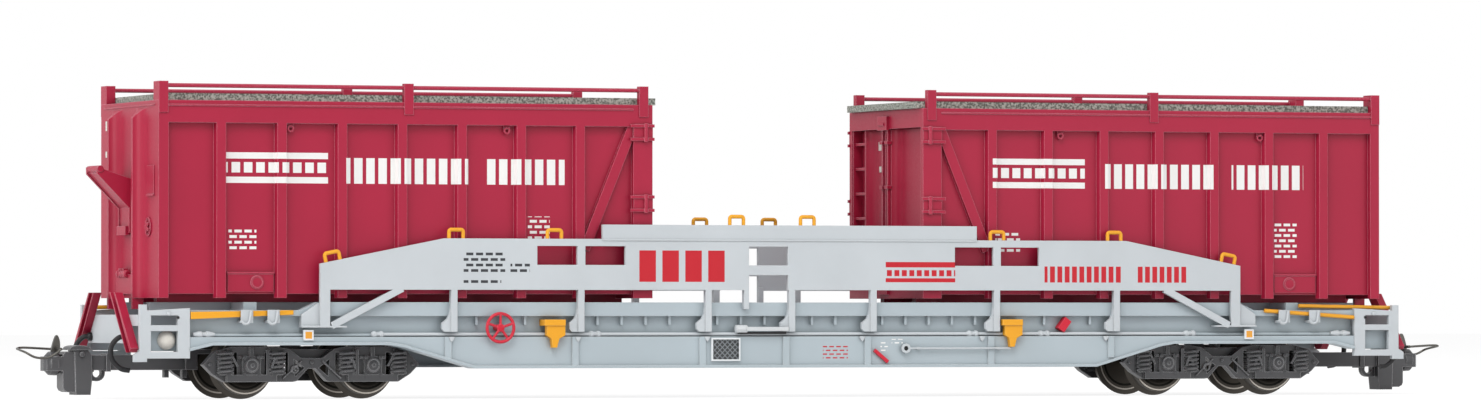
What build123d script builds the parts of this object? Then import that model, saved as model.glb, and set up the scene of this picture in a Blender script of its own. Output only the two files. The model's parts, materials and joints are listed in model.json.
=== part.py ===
from build123d import *
import os
from math import atan, cos, degrees, hypot, pi, sin

# A 1:87 metre-gauge model of a bogie container flatcar: a fish-bellied wagon frame with a side
# truss along each edge, two bogies that swivel under it, and two roll-off containers standing end
# to end. X runs along the wagon, -Y is its near side and Z is up. Heights are measured from the
# rail top, and the finished pieces are lifted so that the wheel flanges' lowest point is at Z = 0.
# The far side is the near side turned half round the Z axis, and so is the right end of the left.

# Wheels, axles and their bearings
TREAD_RADIUS = 4.3
FLANGE_DEPTH = 0.6
FLANGE_WIDTH = 0.65
WHEEL_BACK = 5.1
WHEEL_WIDTH = 2.2
RIM_DEPTH = 0.9
DISH_DEPTH = 0.8
AXLE_RADIUS = 0.75
WHEEL_FIT = 0.03
POINT_LENGTH = 1.2
END_PLAY = 0.2

# Bogies
PIVOT_X = 72.5
HALF_WHEELBASE = 9.2
SIDE_GAP = 1.3
SIDE_THICKNESS = 1.4
SIDE_INNER = WHEEL_BACK + WHEEL_WIDTH + SIDE_GAP
SIDE_OUTER = SIDE_INNER + SIDE_THICKNESS
SIDE_OVERHANG = 7.2
SIDE_TOP = TREAD_RADIUS + 2.7
POINT_START = SIDE_INNER - 0.4
SPRING_OFFSET = 3.9
SPRING_RADIUS = 1.2
SPRING_CORE = 0.85
SPRING_COILS = 6
SPRING_PROUD = 0.5
COIL_SHARE = 0.6
FACE_PROUD = 0.5
AXLEBOX_PROUD = 0.35
AXLEBOX_COVER_RADIUS = 1.05
AXLEBOX_COVER_PROUD = 0.3
BOLSTER_HALF_WIDTH = HALF_WHEELBASE - TREAD_RADIUS - FLANGE_DEPTH - 1.1
BOLSTER_HEIGHT = (TREAD_RADIUS + 0.3, TREAD_RADIUS + 2.3)
PIVOT_PIN_RADIUS = 1.5
PIVOT_CLEARANCE = 0.1
PIVOT_PIN_DEPTH = 1.9
CENTRE_PLATE_RADIUS = 4.0
CENTRE_PLATE_GAP = 0.25

# Side sills across the wagon: each face from the container side outwards or inwards
BOX_HALF_WIDTH = 14.35
TRUSS_INNER = BOX_HALF_WIDTH + 0.55
TRUSS_OUTER = TRUSS_INNER + 0.6
SILL_CHANNEL = TRUSS_INNER - 0.3
SILL_WEB = TRUSS_INNER - 1.3
SILL_INNER = SILL_WEB - 0.6
SILL_LOWER = TRUSS_INNER
SILL_FLANGE = SILL_LOWER + 0.3

# Side sills in height, from the bogies' tops upwards
BELLY_HIGH = SIDE_TOP + 0.2
BELLY_DEPTH = 3.4
BELLY_LOW = BELLY_HIGH - BELLY_DEPTH
BELLY_TIP = BELLY_HIGH - 0.8
LOWER_WEB_TOP = BELLY_HIGH + 1.2
CHANNEL_BOTTOM = LOWER_WEB_TOP + 3.0
SILL_TOP = CHANNEL_BOTTOM + 2.0
SILL_END_TOP = SILL_TOP - 1.15
FLANGE_THICKNESS = 0.4

# Lengths along the wagon, from the bogie pivot outwards
TRUSS_HALF_LENGTH = PIVOT_X + 0.5
SILL_STEP_X = TRUSS_HALF_LENGTH + 2.7
SILL_END_X = PIVOT_X + 19.9
END_X = SILL_END_X + 7.45
HEADSTOCK_THICKNESS = 1.3
HEADSTOCK_OUTER = END_X + 0.05
HEADSTOCK_INNER = HEADSTOCK_OUTER - HEADSTOCK_THICKNESS
BELLY_RISE = (PIVOT_X - 23.1, PIVOT_X - 12.5, PIVOT_X - 10.3)  # foot, knee and top of the slope
BELLY_LINE = ((BELLY_RISE[0], BELLY_LOW), (BELLY_RISE[1], BELLY_HIGH - 0.35), (BELLY_RISE[2], BELLY_HIGH),
              (SILL_END_X - 3.4, BELLY_HIGH), (SILL_END_X, BELLY_TIP))  # half length, height
RIB_PITCH = 3.75
RIB_WIDTH = 0.35
RIB_HEIGHT = (LOWER_WEB_TOP + 1.7, CHANNEL_BOTTOM)
RIB_REACH = SILL_CHANNEL - 0.4

# Couplers, carried by the bogies
DRAWBAR_HALF_WIDTH = 1.2
DRAWBAR_HEIGHT = (TREAD_RADIUS - 0.7, TREAD_RADIUS + 1.5)
HEAD_REAR_X = HEADSTOCK_OUTER + 3.1
HEAD_LENGTH = 4.3
HEAD_HALF_WIDTH = 1.7
HEAD_FOOT_DEPTH = 4.25
HEAD_TOP = TREAD_RADIUS + 2.6
NOSE_X = (HEAD_REAR_X + HEAD_LENGTH, HEAD_REAR_X + HEAD_LENGTH + 2.7)
NOSE_HALF_WIDTH = 1.6
NOSE_HEIGHT = (TREAD_RADIUS - 0.8, TREAD_RADIUS + 1.3)
HOOK_HEIGHT = 3.1
HOOK_HALF_THICKNESS = 0.35
EYE_HEIGHT = TREAD_RADIUS - 1.1
EYE_RADII = (0.65, 1.2)
EYE_HALF_WIDTH = 0.5
LOOP_TIP_X = NOSE_X[1] + 3.6
LOOP_HALF_WIDTH = 2.9
LOOP_WIRE = 0.25
LOOP_DIP = 1.05

# Side trusses
TRUSS_BOTTOM = SILL_TOP + 1.8
TRUSS_TOP = TRUSS_BOTTOM + 7.45
TRUSS_END_TOP = TRUSS_TOP - 3.7
TRUSS_FLAT_X = 54.1
PANEL_HALF_LENGTH = 29.7
PANEL_TOP = TRUSS_TOP + 2.1
LEG_WIDTH = 1.5
LEG_BOTTOM = SILL_TOP - 3.4
FOOT_THICKNESS = 0.25
FOOT_REACH = 4.0
FOOT_BLOCK = 3.7
BRACE = ((TRUSS_HALF_LENGTH - 1.8, LEG_BOTTOM),
         (TRUSS_HALF_LENGTH - 12.5, TRUSS_BOTTOM + 0.2))  # half length, height
BRACE_WIDTH = 1.0
POST_X = (-52.6, -33.0, -13.1, 0.1, 13.1, 33.0, 52.6)
POST_WIDTH = 0.95
POST_BOTTOM = LOWER_WEB_TOP + 0.7
BRACKET_REACH = 1.3
BRACKET_TOP = CHANNEL_BOTTOM + 0.2
WINDOW_POSTS = (-33.0, 33.0)
WINDOW_REACH = (0.6, 6.85)
WINDOW_BOTTOM = TRUSS_BOTTOM + 3.65
WINDOW_HEIGHT = 2.75
LADDER_X = (-6.75, -0.56)
LADDER_RUNG = TRUSS_BOTTOM + 2.2
LADDER_STILE_WIDTH = 0.75

# Lashing loops on the truss tops
LASHING_X = (-TRUSS_HALF_LENGTH + 2.0, -TRUSS_FLAT_X + 1.85, -PANEL_HALF_LENGTH - 7.4, -8.6, 2.6,
             PANEL_HALF_LENGTH + 3.4, TRUSS_FLAT_X - 1.85, TRUSS_HALF_LENGTH - 2.0)
LASHING_WIDTH = 2.65
LASHING_HEIGHT = 1.5
LASHING_WIRE = 0.55
LASHING_CORNER = 0.5

# Deck frame between the sills
CROSS_PITCH = 18.4
CROSS_WIDTH = 2.0
CROSS_BOTTOM = CHANNEL_BOTTOM - 0.8
RAIL_Y = (5.3, 7.1)
RAIL_END_X = END_X - 3.8
SPINE_HALF_WIDTH = 2.6
SPINE_BOTTOM = SIDE_TOP + 2.0

# Wagon ends
END_FRAME_Y = (SILL_CHANNEL - 0.4, SILL_CHANNEL + 0.4)
END_FRAME_BOTTOM = BELLY_TIP - 1.05
END_FRAME_TOP = SILL_TOP - 1.2
END_POST_TOP = SILL_TOP - 0.35
END_POST_WIDTH = 1.05
END_STILE = 1.8
END_FOOT_REACH = 0.85
HEADSTOCK_HALF_WIDTH = END_FRAME_Y[0]
HEADSTOCK_HEIGHT = (LOWER_WEB_TOP + 1.6, CHANNEL_BOTTOM + 0.2)
BUFFER_PLATE_HALF_WIDTH = 10.8
BUFFER_PLATE_DEPTH = 2.5
END_PANEL_HEIGHT = (BELLY_TIP, LOWER_WEB_TOP + 1.2)
ARM_TOP = (5.3, SILL_TOP + 1.4)        # across, height
ARM_BOTTOM = (13.2, BELLY_TIP - 0.2)   # across, height
ARM_WIDTH = 2.0
ARM_THICKNESS = 1.2
ARM_WEB = 0.45
ARM_FLANGE = 0.45
HOSE_Y = 9.0
HOSE_RADIUS = 0.42
HOSE_DROP = 4.9
DOME_X = SILL_END_X + 3.1
DOME_HEIGHT = LOWER_WEB_TOP - 0.45
DOME_RADIUS = 1.36
DOME_DEPTH = 0.9
DOME_RINGS = ((0.45, 1.0), (0.8, 0.8), (1.0, 0.5))  # share of the depth, of the radius

# Small fittings of the near side
HANDWHEEL_X = -45.6
HANDWHEEL_HEIGHT = LOWER_WEB_TOP + 1.3
HANDWHEEL_RADIUS = 2.3
HANDWHEEL_RIM = 0.3
HANDWHEEL_SPOKES = 5
HANDWHEEL_SPOKE = 0.4
BRAKE_BOX_X = (-38.85, 33.75)
BRAKE_BOX_WIDTH = 3.25
BRAKE_BOX_TOP = CHANNEL_BOTTOM - 0.5
BRAKE_BOX_LID = 0.9
BRAKE_BOX_DEPTH = 4.1
BRAKE_BOX_THICKNESS = 0.9
CARD_X = (-12.55, -8.0)
CARD_HEIGHT = (BELLY_LOW + 1.0, BELLY_LOW + 4.4)
CARD_RIM = 0.35
HANDLE_X = (-8.7, -0.6)
HANDLE_HEIGHT = LOWER_WEB_TOP + 1.1
HANDLE_BARREL = 0.6
PIPE_RADIUS = 0.25
PIPE_UNIONS = (-64.0, -30.6, 29.4, 41.0, 65.0)
PIPE_X = SILL_END_X - 1.4
DRAIN_ROD_X = (18.3, 35.25)
DRAIN_ROD_HEIGHT = BELLY_LOW + 2.8
DRAIN_ROD_RADIUS = 0.15
DRAIN_EYE_RADIUS = 0.75
LEVER_X = (13.35, 15.5)
BOTTLE_X = (43.7, 44.9)
REFLECTOR_SIZE = 1.5
REFLECTOR_X = TRUSS_HALF_LENGTH + 0.9
LOCK_BAR_X = (SILL_STEP_X + 1.2, SILL_END_X - 0.1)
LOCK_RODS = (((SILL_STEP_X + 1.6, 1.2), (SILL_END_X - 0.1, 2.2)),
             ((SILL_STEP_X + 7.9, 0.5), (END_X - 0.55, 0.75)))  # half length, depth under the sill top
LOCK_ROD_RADIUS = 0.3
CLIP_X = (-SILL_STEP_X - 8.3, -SILL_STEP_X - 4.3, SILL_STEP_X + 4.7, SILL_STEP_X + 9.8)

# Containers
BOX_OUTER_X = END_X - 2.95
BOX_INNER_X = 21.5
PANEL_DEPTH = 0.85
PANEL_Y = BOX_HALF_WIDTH - PANEL_DEPTH
WALL = 0.8
BOX_FOOT = SILL_TOP + 0.6
BOX_FLOOR = BOX_FOOT + 0.6
PANEL_HEIGHT = 24.5
RAIL_DEPTH = 3.2
RAIL_BOTTOM = BOX_FLOOR + PANEL_HEIGHT
BOX_TOP = RAIL_BOTTOM + RAIL_DEPTH
LEDGE = (BOX_TOP - 0.8, BOX_TOP - 0.6)
LEDGE_PROUD = 0.15
CORNER_WIDTH = 1.5
DOOR_POST_WIDTH = 3.0
SIDE_RIB_FIRST = BOX_OUTER_X - 9.37
SIDE_RIB_PITCH = 9.13
SIDE_RIBS = 7
SIDE_RIB_WIDTH = 1.9
SIDE_RIB_CREST = 1.4
STRUT = ((BOX_INNER_X + 3.0, RAIL_BOTTOM), (BOX_INNER_X + 10.5, RAIL_BOTTOM - 18.0))  # half length, height
STRUT_WIDTH = 1.5
HOOK_RIB_Y = 6.0
HOOK_RIB_WIDTH = 0.63
HOOK_RIB_PROUD = 1.5
HOOK_RIB_TOP = BOX_TOP - 1.0
HOOK_RIB_SLANT = 1.4
HOOK_RIB_FOOT = SILL_TOP - 1.0
HOOK_COVE = 2.5
LATCH_BOX = (3.8, 0.9, 2.8)  # half width, proud, height
COVE_STEPS = 6
DOOR_RECESS = 0.5
DOOR_THICKNESS = 0.7
DOOR_HOLLOW = 1.2
DOOR_COVE = 2.2
DOOR_SILL = BOX_FOOT + 1.8
DOOR_HEAD = RAIL_BOTTOM + 0.4
DOOR_POST_Y = BOX_HALF_WIDTH - 1.1
DOOR_FIT = 0.03
LOCK_BAR_Y = (-1.45, 0.5)
LOCK_BAR_WIDTH = 0.5
LADDER_Y = (-DOOR_POST_Y + 0.1, -DOOR_POST_Y + 3.75)
LADDER_PITCH = 3.75
LADDER_BAR = 0.4
HINGE_TOPS = (DOOR_HEAD, DOOR_HEAD - 10.4)
HINGE_SIZE = (3.0, 2.45, 0.15)  # length, height, proud
COVER_THICKNESS = 1.0
COVER_OVERHANG = 0.8
COVER_HALF_WIDTH = BOX_HALF_WIDTH - 0.95
LUG_WIDTH = 1.4
LUG_TOP = BOX_TOP + 2.7
LUG_FOOT = BOX_TOP - 1.8
LUG_PROUD = 0.15
CORNER_LUG_WIDTH = 2.7
ROD_HEIGHT = LUG_TOP - 0.6
ROD_RADIUS = 0.3
RUNNER_Y = (5.5, 6.9)
RUNNER_END = 2.0
BAIL_HALF_WIDTH = 2.85
BAIL_PLATE = 0.5
BAIL_REACH = 5.7
BAIL_BOTTOM = BOX_FLOOR + 8.8
BAIL_BEND = BAIL_BOTTOM + 3.55
BAIL_TOP = BAIL_BOTTOM + 7.6
BAIL_BAR = 0.5


def block(x, y, z):
    """Box between two values on each axis."""
    size = [abs(b - a) for a, b in (x, y, z)]
    middle = [(a + b) / 2 for a, b in (x, y, z)]
    return Pos(*middle) * Box(*size)


def side_plate(points, y):
    """Outline in X and Z, as a plate between two values of Y."""
    low, high = sorted(y)
    outline = Plane.XZ * Polygon(*points, align=None)
    return Pos(0, low, 0) * extrude(outline, amount=high - low, dir=(0, 1, 0))


def end_plate(points, x):
    """Outline in Y and Z, as a plate between two values of X."""
    low, high = sorted(x)
    outline = Plane.YZ * Polygon(*points, align=None)
    return Pos(low, 0, 0) * extrude(outline, amount=high - low, dir=(1, 0, 0))


def flat_plate(points, z):
    """Outline in X and Y, as a plate between two heights."""
    return Pos(0, 0, z[0]) * extrude(Polygon(*points, align=None), amount=z[1] - z[0], dir=(0, 0, 1))


def bar(start, end, radius, sides=6):
    """Bar of six or more sides between two points."""
    path = Vector(*end) - Vector(*start)
    return Plane(origin=start, z_dir=path) * extrude(RegularPolygon(radius, sides), amount=path.length)


def bent_bar(points, radius):
    """Six-sided bar along straight runs."""
    line = Polyline(*points)
    return sweep(Plane(origin=line @ 0, z_dir=line % 0) * RegularPolygon(radius, 6), path=line,
                 transition=Transition.RIGHT)


def strip(start, end, width, y):
    """Straight bar of one width in the X-Z plane."""
    length = hypot(end[0] - start[0], end[1] - start[1])
    across = (-(end[1] - start[1]) / length * width / 2, (end[0] - start[0]) / length * width / 2)
    order = ((start, 1), (end, 1), (end, -1), (start, -1))
    corners = [(point[0] + side * across[0], point[1] + side * across[1]) for point, side in order]
    return side_plate(corners, y)


def cove(face, start, depth, reach):
    """Plan points of a quarter-round hollow that sinks from a face and runs out along Y."""
    angles = [step * pi / 2 / COVE_STEPS for step in range(COVE_STEPS + 1)]
    return [(face + depth * sin(angle), start + reach * (1 - cos(angle))) for angle in angles]


def fuse(pieces):
    """One solid from pieces that overlap or touch."""
    first, *rest = pieces
    return first.fuse(*rest).clean() if rest else first


def turned(piece):
    """The same piece turned half round the Z axis."""
    return Rot(0, 0, 180) * piece


def group(pieces):
    """Separate solids kept in one node."""
    return Compound(children=[solid for piece in pieces for solid in piece.solids()])


def both_sides(half):
    """Points of a half outline, mirrored and put before it from left to right."""
    return [(-x, z) for x, z in reversed(half)] + list(half)


# Wheelsets

def wheel():
    """Wheel on the near side: flange, tread, rim and dished web, turned about Y."""
    back, front = WHEEL_BACK, WHEEL_BACK + WHEEL_WIDTH
    bore = AXLE_RADIUS + WHEEL_FIT
    tread = TREAD_RADIUS
    outline = Polygon((bore, back), (tread + FLANGE_DEPTH, back), (tread, back + FLANGE_WIDTH), (tread, front),
                      (tread - RIM_DEPTH, front), (bore, front - DISH_DEPTH), align=None)
    return Rot(0, 0, 180) * revolve(outline, Axis.Y)


def axle():
    """Axle with a needle point at each end, turned about Y."""
    tip = POINT_START + POINT_LENGTH
    outline = [(0, -tip), (AXLE_RADIUS, -POINT_START), (AXLE_RADIUS, POINT_START), (0, tip)]
    return revolve(Polygon(*outline, align=None), Axis.Y)


def wheelset_nodes():
    """Two wheels and an axle at each of the four places."""
    nodes = {}
    places = [side * PIVOT_X + end * HALF_WHEELBASE for side in (-1, 1) for end in (-1, 1)]
    for number, x in enumerate(places, start=1):
        place = Pos(x, 0, TREAD_RADIUS)
        nodes[f"wheels_{number}"] = place * group([wheel(), turned(wheel())])
        nodes[f"axle_{number}"] = place * axle()
    return nodes


# Bogies, made about X = 0 with the coupler towards -X

def bogie_plate():
    """Near side frame's open plate: dipped at the middle, with a window for each spring."""
    h, a = HALF_WHEELBASE, TREAD_RADIUS
    half = [(0, a + 1.05), ((h - 6.0) / 2, a + 1.05), (h - 5.8, a + 2.35), (h - 3.8, SIDE_TOP),
            (h + 2.8, SIDE_TOP), (h + 5.4, a + 2.0), (h + SIDE_OVERHANG, a + 0.1), (h + 5.8, a - 1.3),
            (h + 4.0, a - 2.4), (h - 6.3, a - 2.4), (h - 6.9, a - 2.3), (0.26 * (h - 6.9), a - 0.5)]
    outline = half + [(-x, z) for x, z in reversed(half[1:])]
    plate = side_plate(outline, (-SIDE_OUTER, -SIDE_INNER))
    through = (-SIDE_OUTER - 1, -SIDE_INNER + 1)
    for side in (-1, 1):
        hollow = [(h - 6.5, a + 0.9), (h - 8.1, a - 0.4), (h - 6.7, a - 1.6)]
        plate -= side_plate([(side * x, z) for x, z in hollow], through)
        for window in ((h - 5.6, h - 2.1), (h + 2.1, h + 5.15)):
            plate -= block(sorted(side * x for x in window), through, (a - 1.35, a + 1.85))
    return plate


def spring(x):
    """Coil spring as moulded: a comb of flat coils on a core, standing out of the window."""
    low, high = TREAD_RADIUS - 1.38, TREAD_RADIUS + 1.97
    pitch = (high - low) / SPRING_COILS
    half = [(SPRING_CORE, low)]
    for coil in range(SPRING_COILS):
        middle, thick = low + (coil + 0.5) * pitch, pitch * COIL_SHARE
        start, end = middle - thick / 2, middle + thick / 2
        half += [(SPRING_CORE, start), (SPRING_RADIUS, start), (SPRING_RADIUS, end), (SPRING_CORE, end)]
    half.append((SPRING_CORE, high))
    outline = [(x + offset, z) for offset, z in half] + [(x - offset, z) for offset, z in reversed(half)]
    return side_plate(outline, (-SIDE_OUTER - SPRING_PROUD, -SIDE_INNER - 0.3))


def axlebox(x):
    """Axlebox with its ears, round cover and the stem above."""
    a, face = TREAD_RADIUS, -SIDE_OUTER
    half = [(1.3, a - 1.9), (1.45, a + 1.0), (1.95, a + 1.0), (1.95, a + 1.3), (0.3, a + 1.3),
            (0.3, a + 2.6)]
    outline = [(x + offset, z) for offset, z in half] + [(x - offset, z) for offset, z in reversed(half)]
    body = side_plate(outline, (face - AXLEBOX_PROUD, face + 0.2))
    cover_face = face - AXLEBOX_PROUD - AXLEBOX_COVER_PROUD
    cover = bar((x, face + 0.1, a), (x, cover_face, a), AXLEBOX_COVER_RADIUS, 16)
    return [body, cover]


def bogie_side():
    """Near side frame with its springs, axleboxes, tie bars, damper plates and links."""
    a = TREAD_RADIUS
    face, front = -SIDE_OUTER, -SIDE_OUTER - FACE_PROUD
    pieces = [bogie_plate()]
    for side in (-1, 1):
        x = side * HALF_WHEELBASE
        pieces += [spring(x - SPRING_OFFSET), spring(x + SPRING_OFFSET), *axlebox(x)]
        pieces.append(block((x - 3.8, x + 3.8), (front, face + 0.2), (a - 2.4, a - 1.35)))
        damper = sorted((x - side * 2.65, x - side * 2.2))
        pieces.append(block(damper, (front, face + 0.4), (a - 1.4, a + 2.2)))
        link = [(x + side * 3.3, a + 1.85), (x + side * 2.2, a - 0.13)]
        pieces.append(strip(*link, 0.3, (front - 0.2, face + 0.1)))
    frame = fuse(pieces)
    tip = POINT_START + POINT_LENGTH + END_PLAY
    mouth = SIDE_INNER - 0.2
    radius = AXLE_RADIUS * (tip - mouth) / POINT_LENGTH
    hole = revolve(Polygon((0, -tip), (radius, -mouth), (0, -mouth), align=None), Axis.Y)
    for x in (-HALF_WHEELBASE, HALF_WHEELBASE):
        frame -= Pos(x, 0, a) * hole
    return frame


def bogie_bolster():
    """Transoms between the side frames and the block that takes the pivot pin."""
    low, high = BOLSTER_HEIGHT
    beam = block((-BOLSTER_HALF_WIDTH, BOLSTER_HALF_WIDTH), (-SIDE_INNER, SIDE_INNER), BOLSTER_HEIGHT)
    disc = bar((0, 0, low), (0, 0, SIDE_TOP), CENTRE_PLATE_RADIUS, 24)
    hole = Cylinder(PIVOT_PIN_RADIUS + PIVOT_CLEARANCE, 4 * SIDE_TOP)
    rear = -HALF_WHEELBASE - SIDE_OVERHANG
    front = -HALF_WHEELBASE - TREAD_RADIUS - FLANGE_DEPTH - 0.5
    tongue_y = (-DRAWBAR_HALF_WIDTH - 0.4, DRAWBAR_HALF_WIDTH + 0.4)
    tongue = block((rear, 0), tongue_y, (high - 0.7, high))
    post = block((rear, front), tongue_y, (DRAWBAR_HEIGHT[0], high))
    return fuse([beam, disc, tongue, post]) - hole


def coupler():
    """Drawbar from the bogie's pocket, and the head with its foot, front plate, nose and eyelet."""
    rear, nose_face = PIVOT_X - HEAD_REAR_X, PIVOT_X - NOSE_X[1]
    front = PIVOT_X - NOSE_X[0]
    a, foot, top = TREAD_RADIUS, TREAD_RADIUS - HEAD_FOOT_DEPTH, HEAD_TOP
    shank = block((rear - 0.5, -HALF_WHEELBASE - SIDE_OVERHANG), (-DRAWBAR_HALF_WIDTH, DRAWBAR_HALF_WIDTH),
                  DRAWBAR_HEIGHT)
    body = side_plate([(rear, foot + 1.9), (rear - 0.2, foot), (rear - 2.4, foot), (rear - 2.6, top - 0.3),
                       (rear - 2.4, top), (rear - 0.9, top), (rear, top - 1.1)],
                      (-HEAD_HALF_WIDTH, HEAD_HALF_WIDTH))
    plate = side_plate([(rear - 2.2, foot + 0.4), (front + 0.7, foot + 0.4), (front + 0.2, foot + 0.65),
                        (front, foot + 1.1), (front, a + 1.6), (front + 0.4, a + 2.0), (rear - 2.2, a + 2.0)],
                       (-NOSE_HALF_WIDTH, NOSE_HALF_WIDTH))
    w = NOSE_HALF_WIDTH
    half = [(front + 0.3, -w), (nose_face + 1.2, -w), (nose_face + 0.4, -0.8 * w), (nose_face, -0.45 * w)]
    nose = flat_plate(half + [(x, -y) for x, y in reversed(half)], NOSE_HEIGHT)
    eye_x, eye_y = rear + 1.1, (-EYE_HALF_WIDTH, EYE_HALF_WIDTH)
    eye = bar((eye_x, eye_y[0], EYE_HEIGHT), (eye_x, eye_y[1], EYE_HEIGHT), EYE_RADII[1], 20)
    lug = block((eye_x, rear - 0.3), eye_y, (EYE_HEIGHT - 1.15, EYE_HEIGHT + 1.1))
    hole = bar((eye_x, -3, EYE_HEIGHT), (eye_x, 3, EYE_HEIGHT), EYE_RADII[0], 16)
    return fuse([shank, body, plate, nose, fuse([eye, lug]) - hole])


def coupler_loop():
    """Wire loop across the nose and the leaf-shaped hook blade that carries it."""
    foot = NOSE_HEIGHT[1]
    rear_x, tip_x = PIVOT_X - NOSE_X[0] - 0.6, PIVOT_X - LOOP_TIP_X + LOOP_WIRE
    high, low = foot + LOOP_DIP, foot
    w = LOOP_HALF_WIDTH - LOOP_WIRE
    leg = [(rear_x, high), (rear_x - 1.0, low), (tip_x + 2.0, low - 0.1), (tip_x, high)]
    corner = [(tip_x, -w + 0.6), (tip_x, w - 0.6)]
    near = [(x, -w, z) for x, z in leg[:3]]
    far = [(x, w, z) for x, z in reversed(leg[:3])]
    wire = bent_bar(near + [(x, y, high) for x, y in corner] + far, LOOP_WIRE)
    across = bar((rear_x, -w - 0.1, high), (rear_x, w + 0.1, high), LOOP_WIRE)
    x, top = rear_x, foot + HOOK_HEIGHT
    blade = side_plate([(x + 0.3, foot), (x + 0.5, foot + 1.3), (x + 0.4, top - 0.3), (x + 0.15, top),
                        (x - 0.1, top - 0.15), (x - 0.6, top - 1.6), (x - 0.85, foot)],
                       (-HOOK_HALF_THICKNESS, HOOK_HALF_THICKNESS))
    return fuse([wire, across, blade])


def bogie_nodes():
    """Both bogies, each with its coupler outwards."""
    pieces = {"side_near": bogie_side(), "side_far": turned(bogie_side()), "bolster": bogie_bolster(),
              "coupler": coupler(), "coupler_loop": coupler_loop()}
    nodes = {}
    for name, piece in pieces.items():
        nodes[f"bogie_left_{name}"] = Pos(-PIVOT_X, 0, 0) * piece
    for name, piece in pieces.items():
        side = {"side_near": "side_far", "side_far": "side_near"}.get(name, name)
        nodes[f"bogie_right_{side}"] = Pos(PIVOT_X, 0, 0) * turned(piece)
    return nodes


# Wagon frame

def side_sill():
    """Near sill: web, upper channel, fish-bellied lower web, bottom flange, ribs and stiffeners."""
    belly = both_sides(BELLY_LINE)
    raised = both_sides([(x, z + FLANGE_THICKNESS) for x, z in BELLY_LINE])
    upper = [(SILL_END_X, SILL_END_TOP), (SILL_STEP_X, SILL_END_TOP), (SILL_STEP_X - 2.5, SILL_TOP)]
    upper += [(-x, z) for x, z in reversed(upper)]
    channel_foot = [(-SILL_END_X, CHANNEL_BOTTOM), (SILL_END_X, CHANNEL_BOTTOM)]
    lower_top = [(SILL_END_X, LOWER_WEB_TOP), (-SILL_END_X, LOWER_WEB_TOP)]
    web = side_plate(belly + upper, (-SILL_WEB, -SILL_INNER))
    channel = side_plate(channel_foot + upper, (-SILL_CHANNEL, -SILL_INNER))
    lower = side_plate(belly + lower_top, (-SILL_LOWER, -SILL_INNER))
    flange = side_plate(belly + raised[::-1], (-SILL_FLANGE, -SILL_INNER + 0.8))
    panels = []
    for side in (-1, 1):
        panel_x = sorted((side * SILL_END_X, side * HEADSTOCK_INNER))
        panels.append(block(panel_x, (-SILL_WEB, -SILL_INNER), END_PANEL_HEIGHT))
    count = int(2 * TRUSS_FLAT_X / RIB_PITCH)
    taken = [(x - POST_WIDTH - BRACKET_REACH, x + POST_WIDTH / 2) for x in POST_X]
    taken += [(x, x + BRAKE_BOX_WIDTH) for x in BRAKE_BOX_X] + [BOTTLE_X]
    ribs = []
    for index in range(count + 1):
        x = (index - count / 2) * RIB_PITCH
        if not any(low - 2 * RIB_WIDTH < x < high + 2 * RIB_WIDTH for low, high in taken):
            rib_x = (x - RIB_WIDTH / 2, x + RIB_WIDTH / 2)
            ribs.append(block(rib_x, (-RIB_REACH, -SILL_WEB + 0.1), RIB_HEIGHT))
    stiffeners = []
    stiffener_y = (-SILL_FLANGE + 0.05, -SILL_LOWER + 0.1)
    for x in POST_X:
        bottom = BELLY_LOW if abs(x) < BELLY_LINE[0][0] + 0.5 else BELLY_LOW + 1.4
        stiffeners.append(block((x - 1.3, x - 0.3), stiffener_y, (bottom, LOWER_WEB_TOP)))
    return fuse([web, channel, lower, flange] + panels + ribs + stiffeners)


def deck_frame():
    """Cross-members between the sills, the runners' guide rails and the centre spine."""
    count = int(2 * (SILL_END_X - 2) / CROSS_PITCH)
    cross = []
    for index in range(count + 1):
        x = (index - count / 2) * CROSS_PITCH
        cross_x = (x - CROSS_WIDTH / 2, x + CROSS_WIDTH / 2)
        cross.append(block(cross_x, (-SILL_INNER, SILL_INNER), (CROSS_BOTTOM, SILL_TOP)))
    rails = []
    for side in (-1, 1):
        rail_y = sorted((side * RAIL_Y[0], side * RAIL_Y[1]))
        rails.append(block((-RAIL_END_X, RAIL_END_X), rail_y, (CHANNEL_BOTTOM, SILL_TOP)))
    spine = block((-HEADSTOCK_INNER, HEADSTOCK_INNER), (-SPINE_HALF_WIDTH, SPINE_HALF_WIDTH),
                  (SPINE_BOTTOM, CHANNEL_BOTTOM))
    return fuse(cross + rails + [spine])


def swivel_plate(x):
    """Centre plate under the spine with the bogie's pivot pin."""
    bottom = SIDE_TOP + CENTRE_PLATE_GAP
    plate = bar((x, 0, bottom), (x, 0, SPINE_BOTTOM), CENTRE_PLATE_RADIUS, 24)
    pin = Pos(x, 0, bottom - PIVOT_PIN_DEPTH / 2) * Cylinder(PIVOT_PIN_RADIUS, PIVOT_PIN_DEPTH)
    return fuse([plate, pin])


def end_frame():
    """Near end frame at the left: stiles, three bars and the foot."""
    post_x = END_X - END_POST_WIDTH
    y = (-END_FRAME_Y[1], -END_FRAME_Y[0])
    foot = (END_FRAME_BOTTOM - 0.5, END_FRAME_BOTTOM + 1.05)
    toe = END_X + END_FOOT_REACH
    outline = [(SILL_END_X, END_FRAME_BOTTOM), (SILL_END_X, END_FRAME_TOP + 0.35), (post_x, END_FRAME_TOP),
               (post_x, END_POST_TOP), (END_X, END_POST_TOP), (END_X, foot[1]), (toe, foot[1] - 0.5),
               (toe, foot[0]), (post_x, foot[0]), (post_x, END_FRAME_BOTTOM)]
    plate = side_plate([(-x, z) for x, z in outline], y)
    window_x = (-END_X + 1.65, -SILL_END_X - END_STILE)
    for window in ((END_FRAME_TOP - 2.1, END_FRAME_TOP - 0.7), (BELLY_TIP - 0.1, LOWER_WEB_TOP + 0.85)):
        plate -= block(window_x, (y[0] - 1, y[1] + 1), window)
    return plate


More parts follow.
